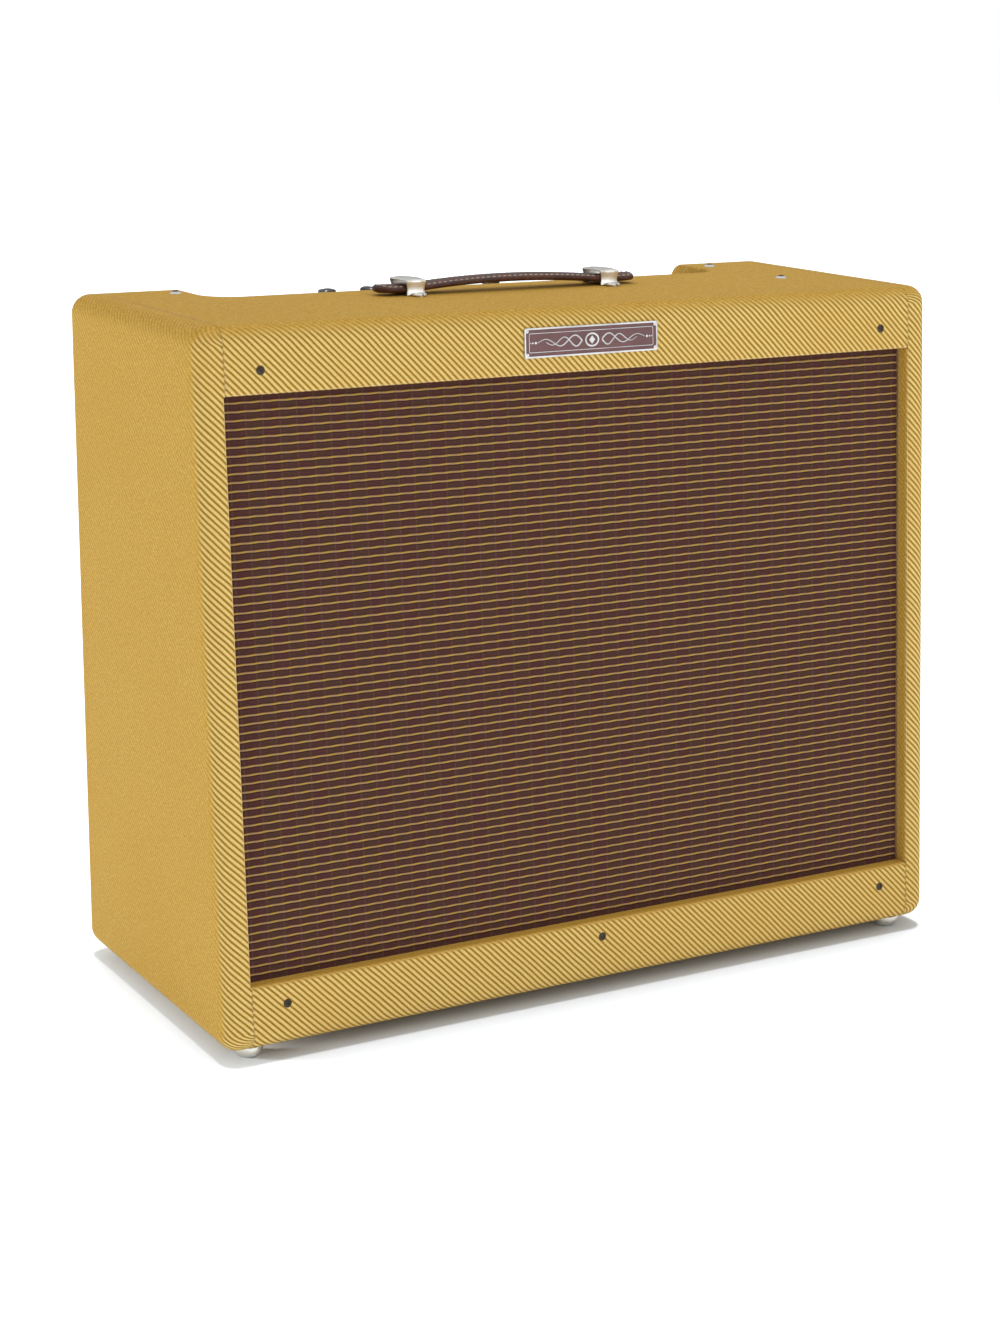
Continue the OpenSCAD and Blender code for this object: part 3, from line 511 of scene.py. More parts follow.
def timber(name, pale, dark, scale=(1.0, 9.0, 9.0)):
    """Bare boards: long grain streaks with darker rings and pores."""
    g = Graph(name)
    long = g.stretch(scale)
    streak = g.noise(14, 6, 0.6, long)
    rings = g.wave(g.mul(g.noise(1.6, 2, 0.4, long), RING_SPACING))
    pores = g.noise(30, 3, 0.7, g.stretch(tuple(8 * s for s in scale)))
    colour = g.mix(g.step(g.add(g.mul(streak, 0.75), g.mul(rings, 0.25)), 0.1, 0.75), dark, pale)
    colour = g.mix(g.step(pores, 0.6, 0.8, 0.0, 0.25), colour, dark)
    g.set(Base_Color=colour, Roughness=g.step(streak, 0.2, 0.8, 0.55, 0.75), Specular_IOR_Level=0.3)
    return g.bump(g.add(streak, g.mul(pores, 0.5)), 0.15 * MM, 0.6).material


def leather():
    """Dark oiled leather with a pebbled grain that wears paler on the bends."""
    g = Graph("handle_leather")
    pebble = g.node("TexVoronoi", 0, {"Vector": g.place, "Scale": 950.0}, feature="SMOOTH_F1")
    wear = g.noise(70, 4, 0.6)
    colour = g.mix(g.step(wear, 0.35, 0.75), srgb(66, 36, 27), srgb(108, 64, 48))
    colour = g.mix(g.step(pebble, 0.45, 0.8, 0.0, 0.5), colour, srgb(36, 20, 17))
    g.set(Base_Color=colour, Roughness=g.step(wear, 0.3, 0.8, 0.44, 0.6), Specular_IOR_Level=0.35)
    return g.bump(g.add(g.mul(pebble, -1), g.mul(wear, 0.4)), 0.12 * MM, 0.6).material


def thread(name, colour, dark):
    """Twisted thread."""
    g = Graph(name)
    twist = g.noise(2200, 2, 0.6)
    g.set(Base_Color=g.mix(g.step(twist, 0.3, 0.7), dark, colour), Roughness=0.8, Sheen_Weight=0.2)
    return g.bump(twist, 0.05 * MM, 0.6).material


def pulp(name, colour, pale):
    """Pressed paper, felt or cork with a fibrous surface."""
    g = Graph(name)
    fibre = g.noise(700, 5, 0.7)
    blotch = g.noise(30, 3, 0.5)
    cloud = g.add(g.mul(fibre, 0.6), g.mul(blotch, 0.4))
    g.set(
        Base_Color=g.mix(g.step(cloud, 0.35, 0.7), colour, pale),
        Roughness=g.step(fibre, 0.3, 0.7, 0.8, 0.95), Sheen_Weight=0.1,
    )
    return g.bump(fibre, 0.12 * MM, 0.8).material


def clear_glass():
    """Clear bottle glass with a little smoke."""
    g = Graph("valve_glass")
    smoke = g.noise(40, 3, 0.6)
    g.set(
        Base_Color=g.mix(smoke, (0.95, 0.97, 0.97), (0.88, 0.92, 0.93)),
        Roughness=g.step(smoke, 0.4, 0.8, 0.02, 0.08),
        IOR=1.5, Transmission_Weight=1.0,
    )
    return g.material


def jewel_glass():
    """Deep red glass with a faint glow."""
    g = Graph("pilot_jewel_glass")
    depth = g.noise(300, 2, 0.5)
    g.set(
        Base_Color=g.mix(depth, srgb(210, 16, 14), srgb(120, 4, 6)),
        Roughness=g.step(depth, 0.3, 0.7, 0.04, 0.12),
        IOR=1.55, Transmission_Weight=0.6,
        Emission_Color=(0.6, 0.02, 0.01, 1), Emission_Strength=0.15,
    )
    return g.material


PINE = srgb(232, 202, 150), srgb(206, 164, 106)
M_TWEED = tweed("tweed")
M_GRILLE = grille_weave()
M_FRAY = thread("seam_fray", srgb(240, 216, 150), srgb(196, 156, 84))
M_STITCH = thread("stitch_thread", srgb(226, 214, 196), srgb(150, 136, 120))
M_LEATHER = leather()
M_NICKEL = metal("nickel", (0.78, 0.76, 0.71), 0.3)


def bolt_nickel(head=4.8 * MM):
    """Nickel heads with a painted shade at the middle of each, standing for the shadowed cross recess, round each
    chassis bolt's own axis.
    """
    lo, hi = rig.box("chassis_bolts")
    g = Graph("chassis_bolt_nickel")
    xyz = g.split(g.place)
    sideways = g.sub(g.math("ABSOLUTE", xyz[0]), hi[0] - head)
    along = g.math(
        "MINIMUM",
        g.math("ABSOLUTE", g.sub(xyz[1], lo[1] + head)),
        g.math("ABSOLUTE", g.sub(xyz[1], hi[1] - head)),
    )
    off_axis = g.math("SQRT", g.add(g.mul(sideways, sideways), g.mul(along, along)))
    scratch = g.noise(PLATING_GRAIN, 2, 0.6)
    g.set(
        # Painted shade: a dark disc at the middle of each head stands for the shadowed cross recess.
        Base_Color=g.mix(
            g.step(off_axis, 2.3 * MM, 3.7 * MM), (0.035, 0.028, 0.022), (0.66, 0.64, 0.6)
        ),
        Metallic=1.0,
        Roughness=g.step(scratch, 0.3, 0.8, 0.26, 0.4),
    )
    return g.bump(scratch, SCRATCH_DEPTH, 0.35).material


M_SILVER = metal("plate_silver", (0.62, 0.61, 0.60), 0.36, wear=0.1)
M_MAROON = coated("plate_enamel", srgb(90, 50, 48), 0.4, grain=500, depth=0.03, coat=0.15)
M_PINE_UP = timber("pine_upright", *PINE, scale=(9.0, 9.0, 1.0))
M_CONE = pulp("cone_pulp", srgb(40, 34, 32), srgb(64, 56, 50))
M_SPIDER = pulp("spider_cloth", srgb(150, 102, 48), srgb(186, 138, 76))
M_LEAD = coated("lead_rubber", (0.015, 0.015, 0.016), 0.5)
M_WHITE_MARK = coated("white_mark", (0.75, 0.74, 0.70), 0.5, shift=0.05)
M_BLACK_PRINT = coated("black_print", (0.015, 0.015, 0.016), 0.5)


# ---- mesh helpers ----


def linked(name, data):
    """A new object in the scene."""
    obj = bpy.data.objects.new(name, data)
    bpy.context.scene.collection.objects.link(obj)
    return obj


def add_mesh(name, verts, faces, uvs=None, material=None, body="cabinet", smooth=True):
    """Makes an object from points and faces; uvs holds one (u, v) for each point."""
    mesh = bpy.data.meshes.new(name)
    mesh.from_pydata([tuple(v) for v in verts], [], faces)
    if uvs is not None:
        layer = mesh.uv_layers.new(name="cloth")
        for loop in mesh.loops:
            layer.data[loop.index].uv = uvs[loop.vertex_index]
    mesh.validate()
    if smooth:
        mesh.polygons.foreach_set("use_smooth", [True] * len(mesh.polygons))
    obj = linked(name, mesh)
    if material is not None:
        mesh.materials.append(material)
    if body is not None:
        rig.ride(obj, body)
    return obj


class Patch:
    """Collects grids and faces of one piece, with a flat coordinate for each point."""

    def __init__(self):
        self.verts, self.uvs, self.faces = [], [], []

    def add(self, pairs):
        """Takes in (point, (u, v)) pairs and gives the number of the first."""
        start = len(self.verts)
        for point, uv in pairs:
            self.verts.append(Vector(point))
            self.uvs.append(uv)
        return start

    def grid(self, rows, flip=False):
        """rows is a list of rows of (point, (u, v)); neighbours are joined by quads."""
        start, n = self.add([pair for row in rows for pair in row]), len(rows[0])
        for i in range(len(rows) - 1):
            for j in range(n - 1):
                a, b = start + i * n + j, start + (i + 1) * n + j
                face = [a, a + 1, b + 1, b]
                self.faces.append(face[::-1] if flip else face)

    def polygon(self, corners, flip=False):
        """One face from (point, (u, v)) pairs."""
        start = self.add(corners)
        face = list(range(start, len(self.verts)))
        self.faces.append(face[::-1] if flip else face)

    def build(self, name, material, body="cabinet", weld=0.01 * MM, solid=False):
        """Makes the object; a solid piece has its faces turned outwards."""
        obj = add_mesh(name, self.verts, self.faces, self.uvs, material, body)
        bm = bmesh.new()
        bm.from_mesh(obj.data)
        bmesh.ops.remove_doubles(bm, verts=bm.verts, dist=weld)
        bmesh.ops.triangulate(bm, faces=[f for f in bm.faces if len(f.verts) > 4])
        if solid:
            bmesh.ops.recalc_face_normals(bm, faces=bm.faces)
        bm.to_mesh(obj.data)
        bm.free()
        return obj


ARC_STEPS = 8
LIP_STEPS = 6
NOTCH_STEPS = 4


class Outline:
    """A path of straight and round stretches in a plane, with the length run so far."""

    def __init__(self, start, run=0.0):
        self.points = [(Vector(start), run)]

    def to(self, point):
        last, run = self.points[-1]
        point = Vector(point)
        self.points.append((point, run + (point - last).length))
        return self

    def arc(self, centre, radius, start, end, n=ARC_STEPS):
        """An arc from the angle start to the angle end, in degrees."""
        for k in range(1, n + 1):
            self.points.append((
                Vector(centre) + radius * heading(start + (end - start) * k / n),
                self.points[-1][1] + radius * math.radians(abs(end - start)) / n,
            ))
        return self


def quarter_turn(n):
    """The angles of a quarter circle in n steps, in radians."""
    return [math.radians(90 * k / n) for k in range(n + 1)]


def slope(v, w):
    """The (y, z) of a point given into and up the leaning front."""
    return front(0, v, w).yz


def soften(obj, angle=30):
    """Smooth shading that keeps edges sharper than the angle."""
    obj.data.polygons.foreach_set("use_smooth", [True] * len(obj.data.polygons))
    obj.data.set_sharp_from_angle(angle=math.radians(angle))
    obj.data.update()
    return obj


# ---- tweed covering ----

LIP_R = 3.2 * MM
NOTCH_LIP = 2.2 * MM
TILT_DEG = math.degrees(TILT)
TOP_FRONT = Vector((lean_y(HEIGHT - EDGE_R), TOP_Z - EDGE_R))
BOTTOM_FRONT = Vector((lean_y(EDGE_R), FLOOR_Z + EDGE_R))
REAR_TOP = Vector((REAR_Y - EDGE_R, TOP_Z - EDGE_R))
REAR_BOTTOM = Vector((REAR_Y - EDGE_R, FLOOR_Z + EDGE_R))
BACK_RECESS = 3 * MM
NOTCH_X = 226 * MM
NOTCH_D = 76 * MM
NOTCH_R = 26 * MM
NOTCH_EASE = 0.5 * MM
LIP_END = REVEAL - 0.1 * MM
EDGE_X = SEAM_X - SEAM_GAP
STRIP_ENDS = -EDGE_X, EDGE_X


def top_strip():
    """Upper front panel, top board and the turned edges of the control notch."""
    patch = Patch()
    path = Outline(slope(LIP_END, OPEN_HI), 0)
    path.to(slope(LIP_R, OPEN_HI))
    path.arc(slope(LIP_R, OPEN_HI + LIP_R), LIP_R, -90 - TILT_DEG, -180 - TILT_DEG, LIP_STEPS)
    lip = path.points[-1][1]
    path.to(TOP_FRONT + EDGE_R * AHEAD)
    path.arc(TOP_FRONT, EDGE_R, 180 - TILT_DEG, 90)
    shift = OPEN_HI + LIP_R - lip
    rows = [[((x, p.x, p.y), (x, run + shift)) for x in STRIP_ENDS] for p, run in path.points]
    patch.grid(rows)
    y0, v0 = path.points[-1][0].x, path.points[-1][1] + shift

    def on_top(x, y):
        return (x, v0 + y - y0)

    ear_x = NOTCH_X + NOTCH_LIP - NOTCH_EASE
    flat_end = REAR_TOP.x
    notch = notch_line()
    corners = [(-EDGE_X, y0), (EDGE_X, y0), (EDGE_X, flat_end)]
    corners += [(p.x, p.y) for p, _ in reversed(notch) if p.y <= flat_end + 1e-7]
    corners += [(-EDGE_X, flat_end)]
    patch.polygon([((x, y, TOP_Z), on_top(x, y)) for x, y in corners])
    rear = Outline((flat_end, TOP_Z), 0).arc(REAR_TOP, EDGE_R, 90, 0)
    rear.to((REAR_Y, LID_Z)).to((REAR_Y - BACK_RECESS, LID_Z))
    for x0, x1 in ((-EDGE_X, -ear_x), (ear_x, EDGE_X)):
        patch.grid([
            [((x, p.x, p.y), (x, v0 + flat_end - y0 + run)) for x in (x0, x1)]
            for p, run in rear.points
        ])
    rows = []
    for p, outward in notch:
        drop = max(0.0, p.y - flat_end)
        crest = TOP_Z - EDGE_R + math.sqrt(max(0.0, EDGE_R ** 2 - drop ** 2))
        u, v = on_top(p.x, p.y)
        lip = [
            (NOTCH_LIP * math.sin(a), crest - min(NOTCH_LIP * (1 - math.cos(a)), crest - LID_Z),
             NOTCH_LIP * a) for a in quarter_turn(NOTCH_STEPS)
        ]
        lip.append((NOTCH_LIP, LID_Z, NOTCH_LIP * math.pi / 2 + crest - NOTCH_LIP - LID_Z))
        rows.append([
            ((p.x + out * outward.x, p.y + out * outward.y, z),
             (u + outward.x * run, v + outward.y * run)) for out, z, run in lip
        ])
    patch.grid(rows)
    return patch.build("tweed_top_strip", M_TWEED)


def notch_line():
    """Points along the notch's turned edge with the way into the notch, from left to right."""
    r = NOTCH_R + NOTCH_LIP - NOTCH_EASE
    x_in = NOTCH_X - NOTCH_R
    y_in = REAR_Y - NOTCH_D + NOTCH_R
    points = []
    for k in range(ARC_STEPS + 1):
        y = REAR_TOP.x + EDGE_R * heading(90 * k / ARC_STEPS).x
        points.append((Vector((-x_in - r, y)), Vector((1, 0))))
    for k in range(ARC_STEPS + 1):
        out = heading(180 + 90 * k / ARC_STEPS)
        points.append((Vector((-x_in, y_in)) + r * out, -out))
    mirrored = [(Vector((-p.x, p.y)), Vector((-o.x, o.y))) for p, o in reversed(points)]
    return points + mirrored


def bottom_strip():
    """Lower front panel, underside and the bottom's rear edge."""
    patch = Patch()
    path = Outline(slope(LIP_END, OPEN_LO), 0)
    path.to(slope(LIP_R, OPEN_LO))
    path.arc(slope(LIP_R, OPEN_LO - LIP_R), LIP_R, 90 - TILT_DEG, 180 - TILT_DEG, LIP_STEPS)
    lip = path.points[-1][1]
    path.to(BOTTOM_FRONT + EDGE_R * AHEAD)
    path.arc(BOTTOM_FRONT, EDGE_R, 180 - TILT_DEG, 270)
    path.to((REAR_BOTTOM.x, FLOOR_Z))
    path.arc(REAR_BOTTOM, EDGE_R, -90, 0)
    path.to((REAR_Y, SOLE_Z)).to((REAR_Y - BACK_RECESS, SOLE_Z))
    shift = OPEN_LO - LIP_R + lip
    rows = [[((x, p.x, p.y), (x, shift - run)) for x in STRIP_ENDS] for p, run in path.points]
    patch.grid(rows, flip=True)
    return patch.build("tweed_bottom_strip", M_TWEED)


def cheek(side):
    """The cloth on one side board: the flat side, its rounded rim and the turned-over flanges."""
    patch = Patch()
    rim = []
    for centre, a0, a1 in (
        (BOTTOM_FRONT, 270, 180 - TILT_DEG), (TOP_FRONT, 180 - TILT_DEG, 90),
        (REAR_TOP, 90, 0), (REAR_BOTTOM, 0, -90),
    ):
        rim += [(centre, heading(a0 + (a1 - a0) * j / ARC_STEPS)) for j in range(ARC_STEPS + 1)]
        if centre is BOTTOM_FRONT:
            rim += [(slope(EDGE_R, w), AHEAD) for w in OPENING]
    rim.append(rim[0])

    def flat_uv(y, z):
        y, z = y - FRONT_Y, z - FLOOR_Z
        return (side * (y * COS_T - z * SIN_T), z * COS_T + y * SIN_T)

    def rim_point(c, out, x, reach, run):
        p, q = c + reach * out, c + run * out
        return ((side * x, p.x, p.y), flat_uv(q.x, q.y))

    def lip_point(x, v, run, w):
        """A point on the turned edge of the grille opening and its place on the flat cloth."""
        c = slope(EDGE_R, w) + run * AHEAD
        return (front(side * x, v, w), flat_uv(c.x, c.y))

    core = HALF_W - EDGE_R
    rows = []
    for a in quarter_turn(ARC_STEPS):
        rows.append([
            rim_point(c, out, core + EDGE_R * math.cos(a), EDGE_R * math.sin(a), EDGE_R * a)
            for c, out in rim
        ])
    quarter = EDGE_R * math.pi / 2
    low, high = ARC_STEPS + 1, ARC_STEPS + 2
    lip_x = SEAM_X + LIP_R
    seam = SEAM_X + SEAM_GAP
    rows.append([rim_point(c, out, lip_x, EDGE_R, quarter + core - lip_x) for c, out in rim])
    patch.grid(rows, flip=side > 0)
    patch.polygon([rim_point(c, out, HALF_W, 0, 0) for c, out in rim[:-1]], flip=side < 0)
    outside = [
        [rim_point(c, out, x, EDGE_R, quarter + core - x) for c, out in rim] for x in (lip_x, seam)
    ]
    patch.grid([row[high:] for row in outside], flip=side > 0)
    patch.grid([row[:low + 1] for row in outside], flip=side > 0)
    patch.grid([
        [rim_point(Vector((y, z)), Vector((0, 0)), seam, 0, 0) for z in (SOLE_Z, LID_Z)]
        for y in (REAR_Y, REAR_Y - BACK_RECESS)
    ], flip=side < 0)
    lip = [
        (lip_x - LIP_R * math.sin(a), LIP_R * (1 - math.cos(a)), LIP_R * a)
        for a in quarter_turn(LIP_STEPS)
    ]
    turned = [(x, v, quarter + core - lip_x + run) for x, v, run in lip]
    x, _, run = turned[-1]
    turned.append((x, LIP_END, run + REVEAL - LIP_R))
    patch.grid([[lip_point(*at, w) for w in OPENING] for at in turned], flip=side < 0)
    for w in OPENING:
        fan = [lip_point(*at, w) for at in lip + [(seam, 0.0, quarter)]]
        patch.polygon(fan, flip=(side < 0) == (w == OPEN_LO))
    return patch.build("tweed_cheek_" + ("left" if side < 0 else "right"), M_TWEED)


def cut_size(obj):
    """The width, length and area of the flat cloth, from its flat coordinates."""
    layer = obj.data.uv_layers["cloth"].data
    us = [d.uv.x for d in layer]
    vs = [d.uv.y for d in layer]
    area = 0.0
    for face in obj.data.polygons:
        uv = [layer[k].uv for k in face.loop_indices]
        area += abs(sum(
            a.x * b.y - b.x * a.y for a, b in zip(uv, uv[1:] + uv[:1])
        )) / 2
    width, length = max(us) - min(us), max(vs) - min(vs)
    return (width, length), min(area, width * length)


def stretched(obj, *boards):
    """Declares a glued or stretched cloth with the size it was cut to."""
    flat, area = cut_size(obj)
    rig.sheet(obj, flat=flat, held="stretched", rests_on=boards, area=area)


CLOTHS = (
    (top_strip(), "top_board", "upper_front_panel"),
    (bottom_strip(), "bottom_board", "lower_front_panel"),
    (cheek(-1), "side_board_left"),
    (cheek(1), "side_board_right"),
)
for piece, *boards in CLOTHS:
    soften(piece, 50)
    even = piece.modifiers.new("even_shading", "WEIGHTED_NORMAL")
    even.keep_sharp = True
    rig.slot(piece, "tweed")
    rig.replaces(piece, "tweed_covering")
    stretched(piece, *boards)


# ---- frayed threads along the seams ----

random = Random(57)
FRAY_R = 0.13 * MM
FRAY_LENGTH = 0.8, 2.4
FRAY_SPREAD = 0.4
FRAY_SKEW = 22
FRONT_FRAY, TOP_FRAY = 1.6, 1.0
FRAY_LO, FRAY_HI = 10 * MM, 497 * MM


def hair(patch, start, way, up, length, radius=FRAY_R):
    """One short thread: a three-sided sliver that rises in the middle and ends in a point."""
    side = way.cross(up).normalized()
    base = len(patch.verts)
    for t, k in ((0.0, 0.5), (0.35, 1.0), (0.75, 0.8)):
        middle = start + way * (length * t) + up * (0.55 * radius + 2.4 * radius * t * (1 - t))
        for a in (90, 210, 330):
            turn = math.radians(a)
            patch.verts.append(middle + radius * k * (side * math.cos(turn) + up * math.sin(turn)))
            patch.uvs.append((0, 0))
    patch.verts.append(start + way * length + up * 0.4 * radius)
    patch.uvs.append((0, 0))
    for k in range(2):
        for j in range(3):
            a, b = base + 3 * k + j, base + 3 * k + (j + 1) % 3
            patch.faces.append([b, a, a + 3, b + 3])
    for j in range(3):
        patch.faces.append([base + 6 + (j + 1) % 3, base + 6 + j, base + 9])
    patch.faces.append([base, base + 1, base + 2])


def fray(patch, start, end, up, across, per_mm):
    """Threads that stick out over one straight seam."""
    along = (end - start).normalized()
    for _ in range(int((end - start).length / MM * per_mm)):
        spot = start + (end - start) * random.random()
        spot += across * random.uniform(-FRAY_SPREAD, FRAY_SPREAD) * MM
        lean = math.radians(random.choice((45, 135)) + random.uniform(-FRAY_SKEW, FRAY_SKEW))
        way = (along * math.cos(lean) + across * math.sin(lean)) * random.choice((-1, 1))
        hair(patch, spot, way, up, random.uniform(*FRAY_LENGTH) * MM)


def seam_fray():
    """Loose threads along the front and top seams of both cheeks."""
    patch = Patch()
    right = Vector((1, 0, 0))
    for side in (-1, 1):
        x = side * SEAM_X
        for w0, w1 in ((FRAY_LO, OPEN_LO - LIP_R), (OPEN_HI + LIP_R, FRAY_HI)):
            fray(patch, front(x, 0, w0), front(x, 0, w1), OUTWARD, right, FRONT_FRAY)
        fray(patch, Vector((x, TOP_FRONT.x + 2 * MM, TOP_Z)), Vector((x, REAR_TOP.x, TOP_Z)),
             UPWARD, right, TOP_FRAY)
    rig.slot(patch.build("seam_fray", M_FRAY, weld=0), "tweed")


seam_fray()


# ---- grille cloth ----

GRILLE_LO = 23 * MM
GRILLE_HI = 486 * MM
GRILLE_CELLS = 224
CORD_RISE = 0.45 * MM
CORD_SWAY = 0.12 * MM
CORD_PROFILE = ((-0.12, 0.0), (-0.08, 0.75), (0.0, 1.0), (0.08, 0.75), (0.12, 0.0), (0.5, 0.15))


def grille():
    """The stretched cloth, with each gold cord as a low wavy ridge."""
    pitch, band = GRILLE_PITCH * MM, GRILLE_BAND * MM
    columns = [GRILLE_W * (k / GRILLE_CELLS - 0.5) for k in range(GRILLE_CELLS + 1)]

    def row(w, rise, sway=0.0, shift=0.0):
        return [(
            front(x, REVEAL - rise, w + sway * math.sin(math.tau * (x / band + shift))), (x, w)
        ) for x in columns]

    rows = [row(GRILLE_LO, 0)]
    for k in range(math.ceil(GRILLE_LO / pitch) + 1, math.floor(GRILLE_HI / pitch)):
        for step, rise in CORD_PROFILE:
            shift = row_shift(k) if step < 0.4 else (row_shift(k) + row_shift(k + 1)) / 2
            rows.append(row((k + step) * pitch, rise * CORD_RISE, CORD_SWAY, shift))
    rows.append(row(GRILLE_HI, 0))
    patch = Patch()
    patch.grid(rows, flip=True)
    piece = patch.build("grille_cloth_woven", M_GRILLE, weld=0)
    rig.slot(piece, "grille")
    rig.replaces(piece, "grille_cloth")
    stretched(piece, "baffle_board")


grille()


# ---- solid pieces from outlines, rings and bars ----


def add_modifiers(obj, bevel=0.0, thick=0.0):
    """Thickness and rounded edges."""
    if thick:
        wall = obj.modifiers.new("thickness", "SOLIDIFY")
        wall.thickness = thick
        wall.offset = 0
    if bevel:
        edge = obj.modifiers.new("edges", "BEVEL")
        edge.width = bevel
        edge.segments = 2
        edge.limit_method = "ANGLE"
        edge.angle_limit = math.radians(40)
    return obj


def ring_faces(patch, loops, closed_profile):
    """Joins loops of as many points each by quads."""
    n = len(loops[0])
    base = len(patch.verts)
    for loop in loops:
        patch.verts += loop
        patch.uvs += [(v.x, v.y) for v in loop]
    for i in range(len(loops) if closed_profile else len(loops) - 1):
        a0, b0 = base + i * n, base + (i + 1) % len(loops) * n
        for k in range(n):
            k1 = (k + 1) % n
            patch.faces.append([a0 + k, a0 + k1, b0 + k1, b0 + k])
    if not closed_profile:
        patch.faces.append([base + k for k in reversed(range(n))])
        patch.faces.append([base + (len(loops) - 1) * n + k for k in range(n)])


def prism(patch, outline, lower, upper, place):
    """A solid between two heights over a flat outline; place turns (x, y, h) into a point."""
    ring_faces(patch, [[place(x, y, h) for x, y in outline] for h in (lower, upper)], False)


def frame_ring(patch, outer, inner, lower, upper, place):
    """A flat frame between two outlines with as many points each."""
    ring_faces(patch, [
        [place(x, y, h) for x, y in line]
        for line, h in ((outer, lower), (outer, upper), (inner, upper), (inner, lower))
    ], True)


def sweep(patch, path, radius, up, sides=8):
    """A round bar along points, closed at both ends; radius has one number for each point."""
    n = len(path)
    loops = []
    for k in range(n):
        way = (path[min(k + 1, n - 1)] - path[max(k - 1, 0)]).normalized()
        side = way.cross(up).normalized()
        top = side.cross(way)
        loops.append([path[k] + radius[k] * (side * c + top * s) for c, s in turn_points(1, sides)])
    ring_faces(patch, loops, False)


def revolve(patch, profile, sides, place):
    """Turns (radius, height) points round an axis; place maps the result."""
    loops = [[place(x, y, h) for x, y in turn_points(r, sides)] for r, h in profile]
    ring_faces(patch, loops, False)


def turn_points(r, n):
    """Points all round a circle."""
    return [(r * math.cos(a), r * math.sin(a)) for a in (math.tau * j / n for j in range(n))]


def circle(r, n, x=0.0, squeeze=1.0):
    """A flat circle or oval round a point of the x axis."""
    return [(x + c, squeeze * s) for c, s in turn_points(r, n)]


def rounded_rectangle(w, h, r, n=4, inward=False):
    """A rectangle with round corners, or with corners cut by inward quarter circles."""
    points = []
    for cx, cy, start in ((1, -1, 270), (1, 1, 0), (-1, 1, 90), (-1, -1, 180)):
        for k in range(n + 1):
            a = math.radians(start - 90 - 90 * k / n if inward else start + 90 * k / n)
            inset = 0 if inward else r
            points.append((
                cx * (w / 2 - inset) + r * math.cos(a), cy * (h / 2 - inset) + r * math.sin(a)
            ))
    return points


# ---- nameplate ----

plate_lo, plate_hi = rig.box("nameplate")
PLATE_W = plate_hi.x - plate_lo.x
SCROLL_STEPS = 48
SCROLL_WAVES = 1.5
SCROLL_BEADS = ((47.2, 0.9), (49.6, 0.65), (51.4, 0.45))
PIN_PROFILE = ((1.1, -0.4), (1.05, 0.25), (0.75, 0.55), (0.25, 0.65))
PIN_INSET = 2.6 * MM
PLATE_H = 21.5 * MM
PLATE_MID = 486.6 * MM
PLATE_RIM = 1.25 * MM
PLATE_T = 1.3 * MM


def on_plate(x, y, h):
    """A point across, up and out from the middle of the nameplate's back."""
    return front(x, -h, PLATE_MID + y)


def plate_outline(inset, r, **how):
    """The plate's rectangle, smaller by the inset."""
    return rounded_rectangle(PLATE_W - inset, PLATE_H - inset, r, **how)


def nameplate():
    """A pressed badge: bright border, maroon field, four pins and a plain scroll ornament."""
    rim, field, scroll, pins = Patch(), Patch(), Patch(), Patch()
    inner = plate_outline(2 * PLATE_RIM, 2.4 * MM, inward=True)
    frame_ring(rim, plate_outline(0, 1.3 * MM), inner, 0.0, PLATE_T, on_plate)
    prism(field, plate_outline(PLATE_RIM, 0.8 * MM), 0.0, PLATE_T - 0.45 * MM, on_plate)
    line_lift = PLATE_T - 0.4 * MM
    for side in (-1, 1):
        for flip, reach in ((1, 37), (-1, 30)):
            curl, taper = [], []
            for k in range(SCROLL_STEPS + 1):
                t = k / SCROLL_STEPS
                x = side * (8.5 + reach * t) * MM
                y = flip * 4.4 * MM * math.sin(math.tau * SCROLL_WAVES * t) * (1 - 0.6 * t)
                curl.append(on_plate(x, y, line_lift))
                taper.append((0.72 - 0.46 * t) * MM)
            sweep(scroll, curl, taper, OUTWARD, 6)
        for x, r in SCROLL_BEADS:
            prism(scroll, circle(r * MM, 12, side * x * MM), 0.0, PLATE_T - 0.1 * MM, on_plate)
    lens = circle(6.0 * MM, 40, squeeze=0.85)
    frame_ring(scroll, lens, [(0.8 * x, 0.76 * y) for x, y in lens], 0.0, PLATE_T, on_plate)
    prism(scroll, circle(2.6 * MM, 4, squeeze=1.15), 0.0, PLATE_T, on_plate)
    frame_ring(scroll, plate_outline(7.6 * MM, 1.2 * MM), plate_outline(8.3 * MM, 0.9 * MM),
               0.0, PLATE_T - 0.25 * MM, on_plate)
    for sx in (-1, 1):
        for sy in (-1, 1):
            x, y = sx * (PLATE_W / 2 - PIN_INSET), sy * (PLATE_H / 2 - PIN_INSET)
            pin = [(r * MM, h * MM) for r, h in PIN_PROFILE]
            revolve(pins, pin, 12, lambda a, b, h: on_plate(x + a, y + b, h + PLATE_T - 0.2 * MM))
    border = add_modifiers(rim.build("nameplate_border", M_SILVER, solid=True), bevel=0.22 * MM)
    pieces = (
        border, soften(field.build("nameplate_field", M_MAROON, solid=True)),
        soften(scroll.build("nameplate_ornament", M_SILVER, weld=0, solid=True)),
        soften(pins.build("nameplate_pins", M_SILVER, weld=0, solid=True)),
    )
    for piece in pieces:
        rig.slot(piece, "nameplate")
        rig.replaces(piece, "nameplate")


nameplate()


# ---- handle ----

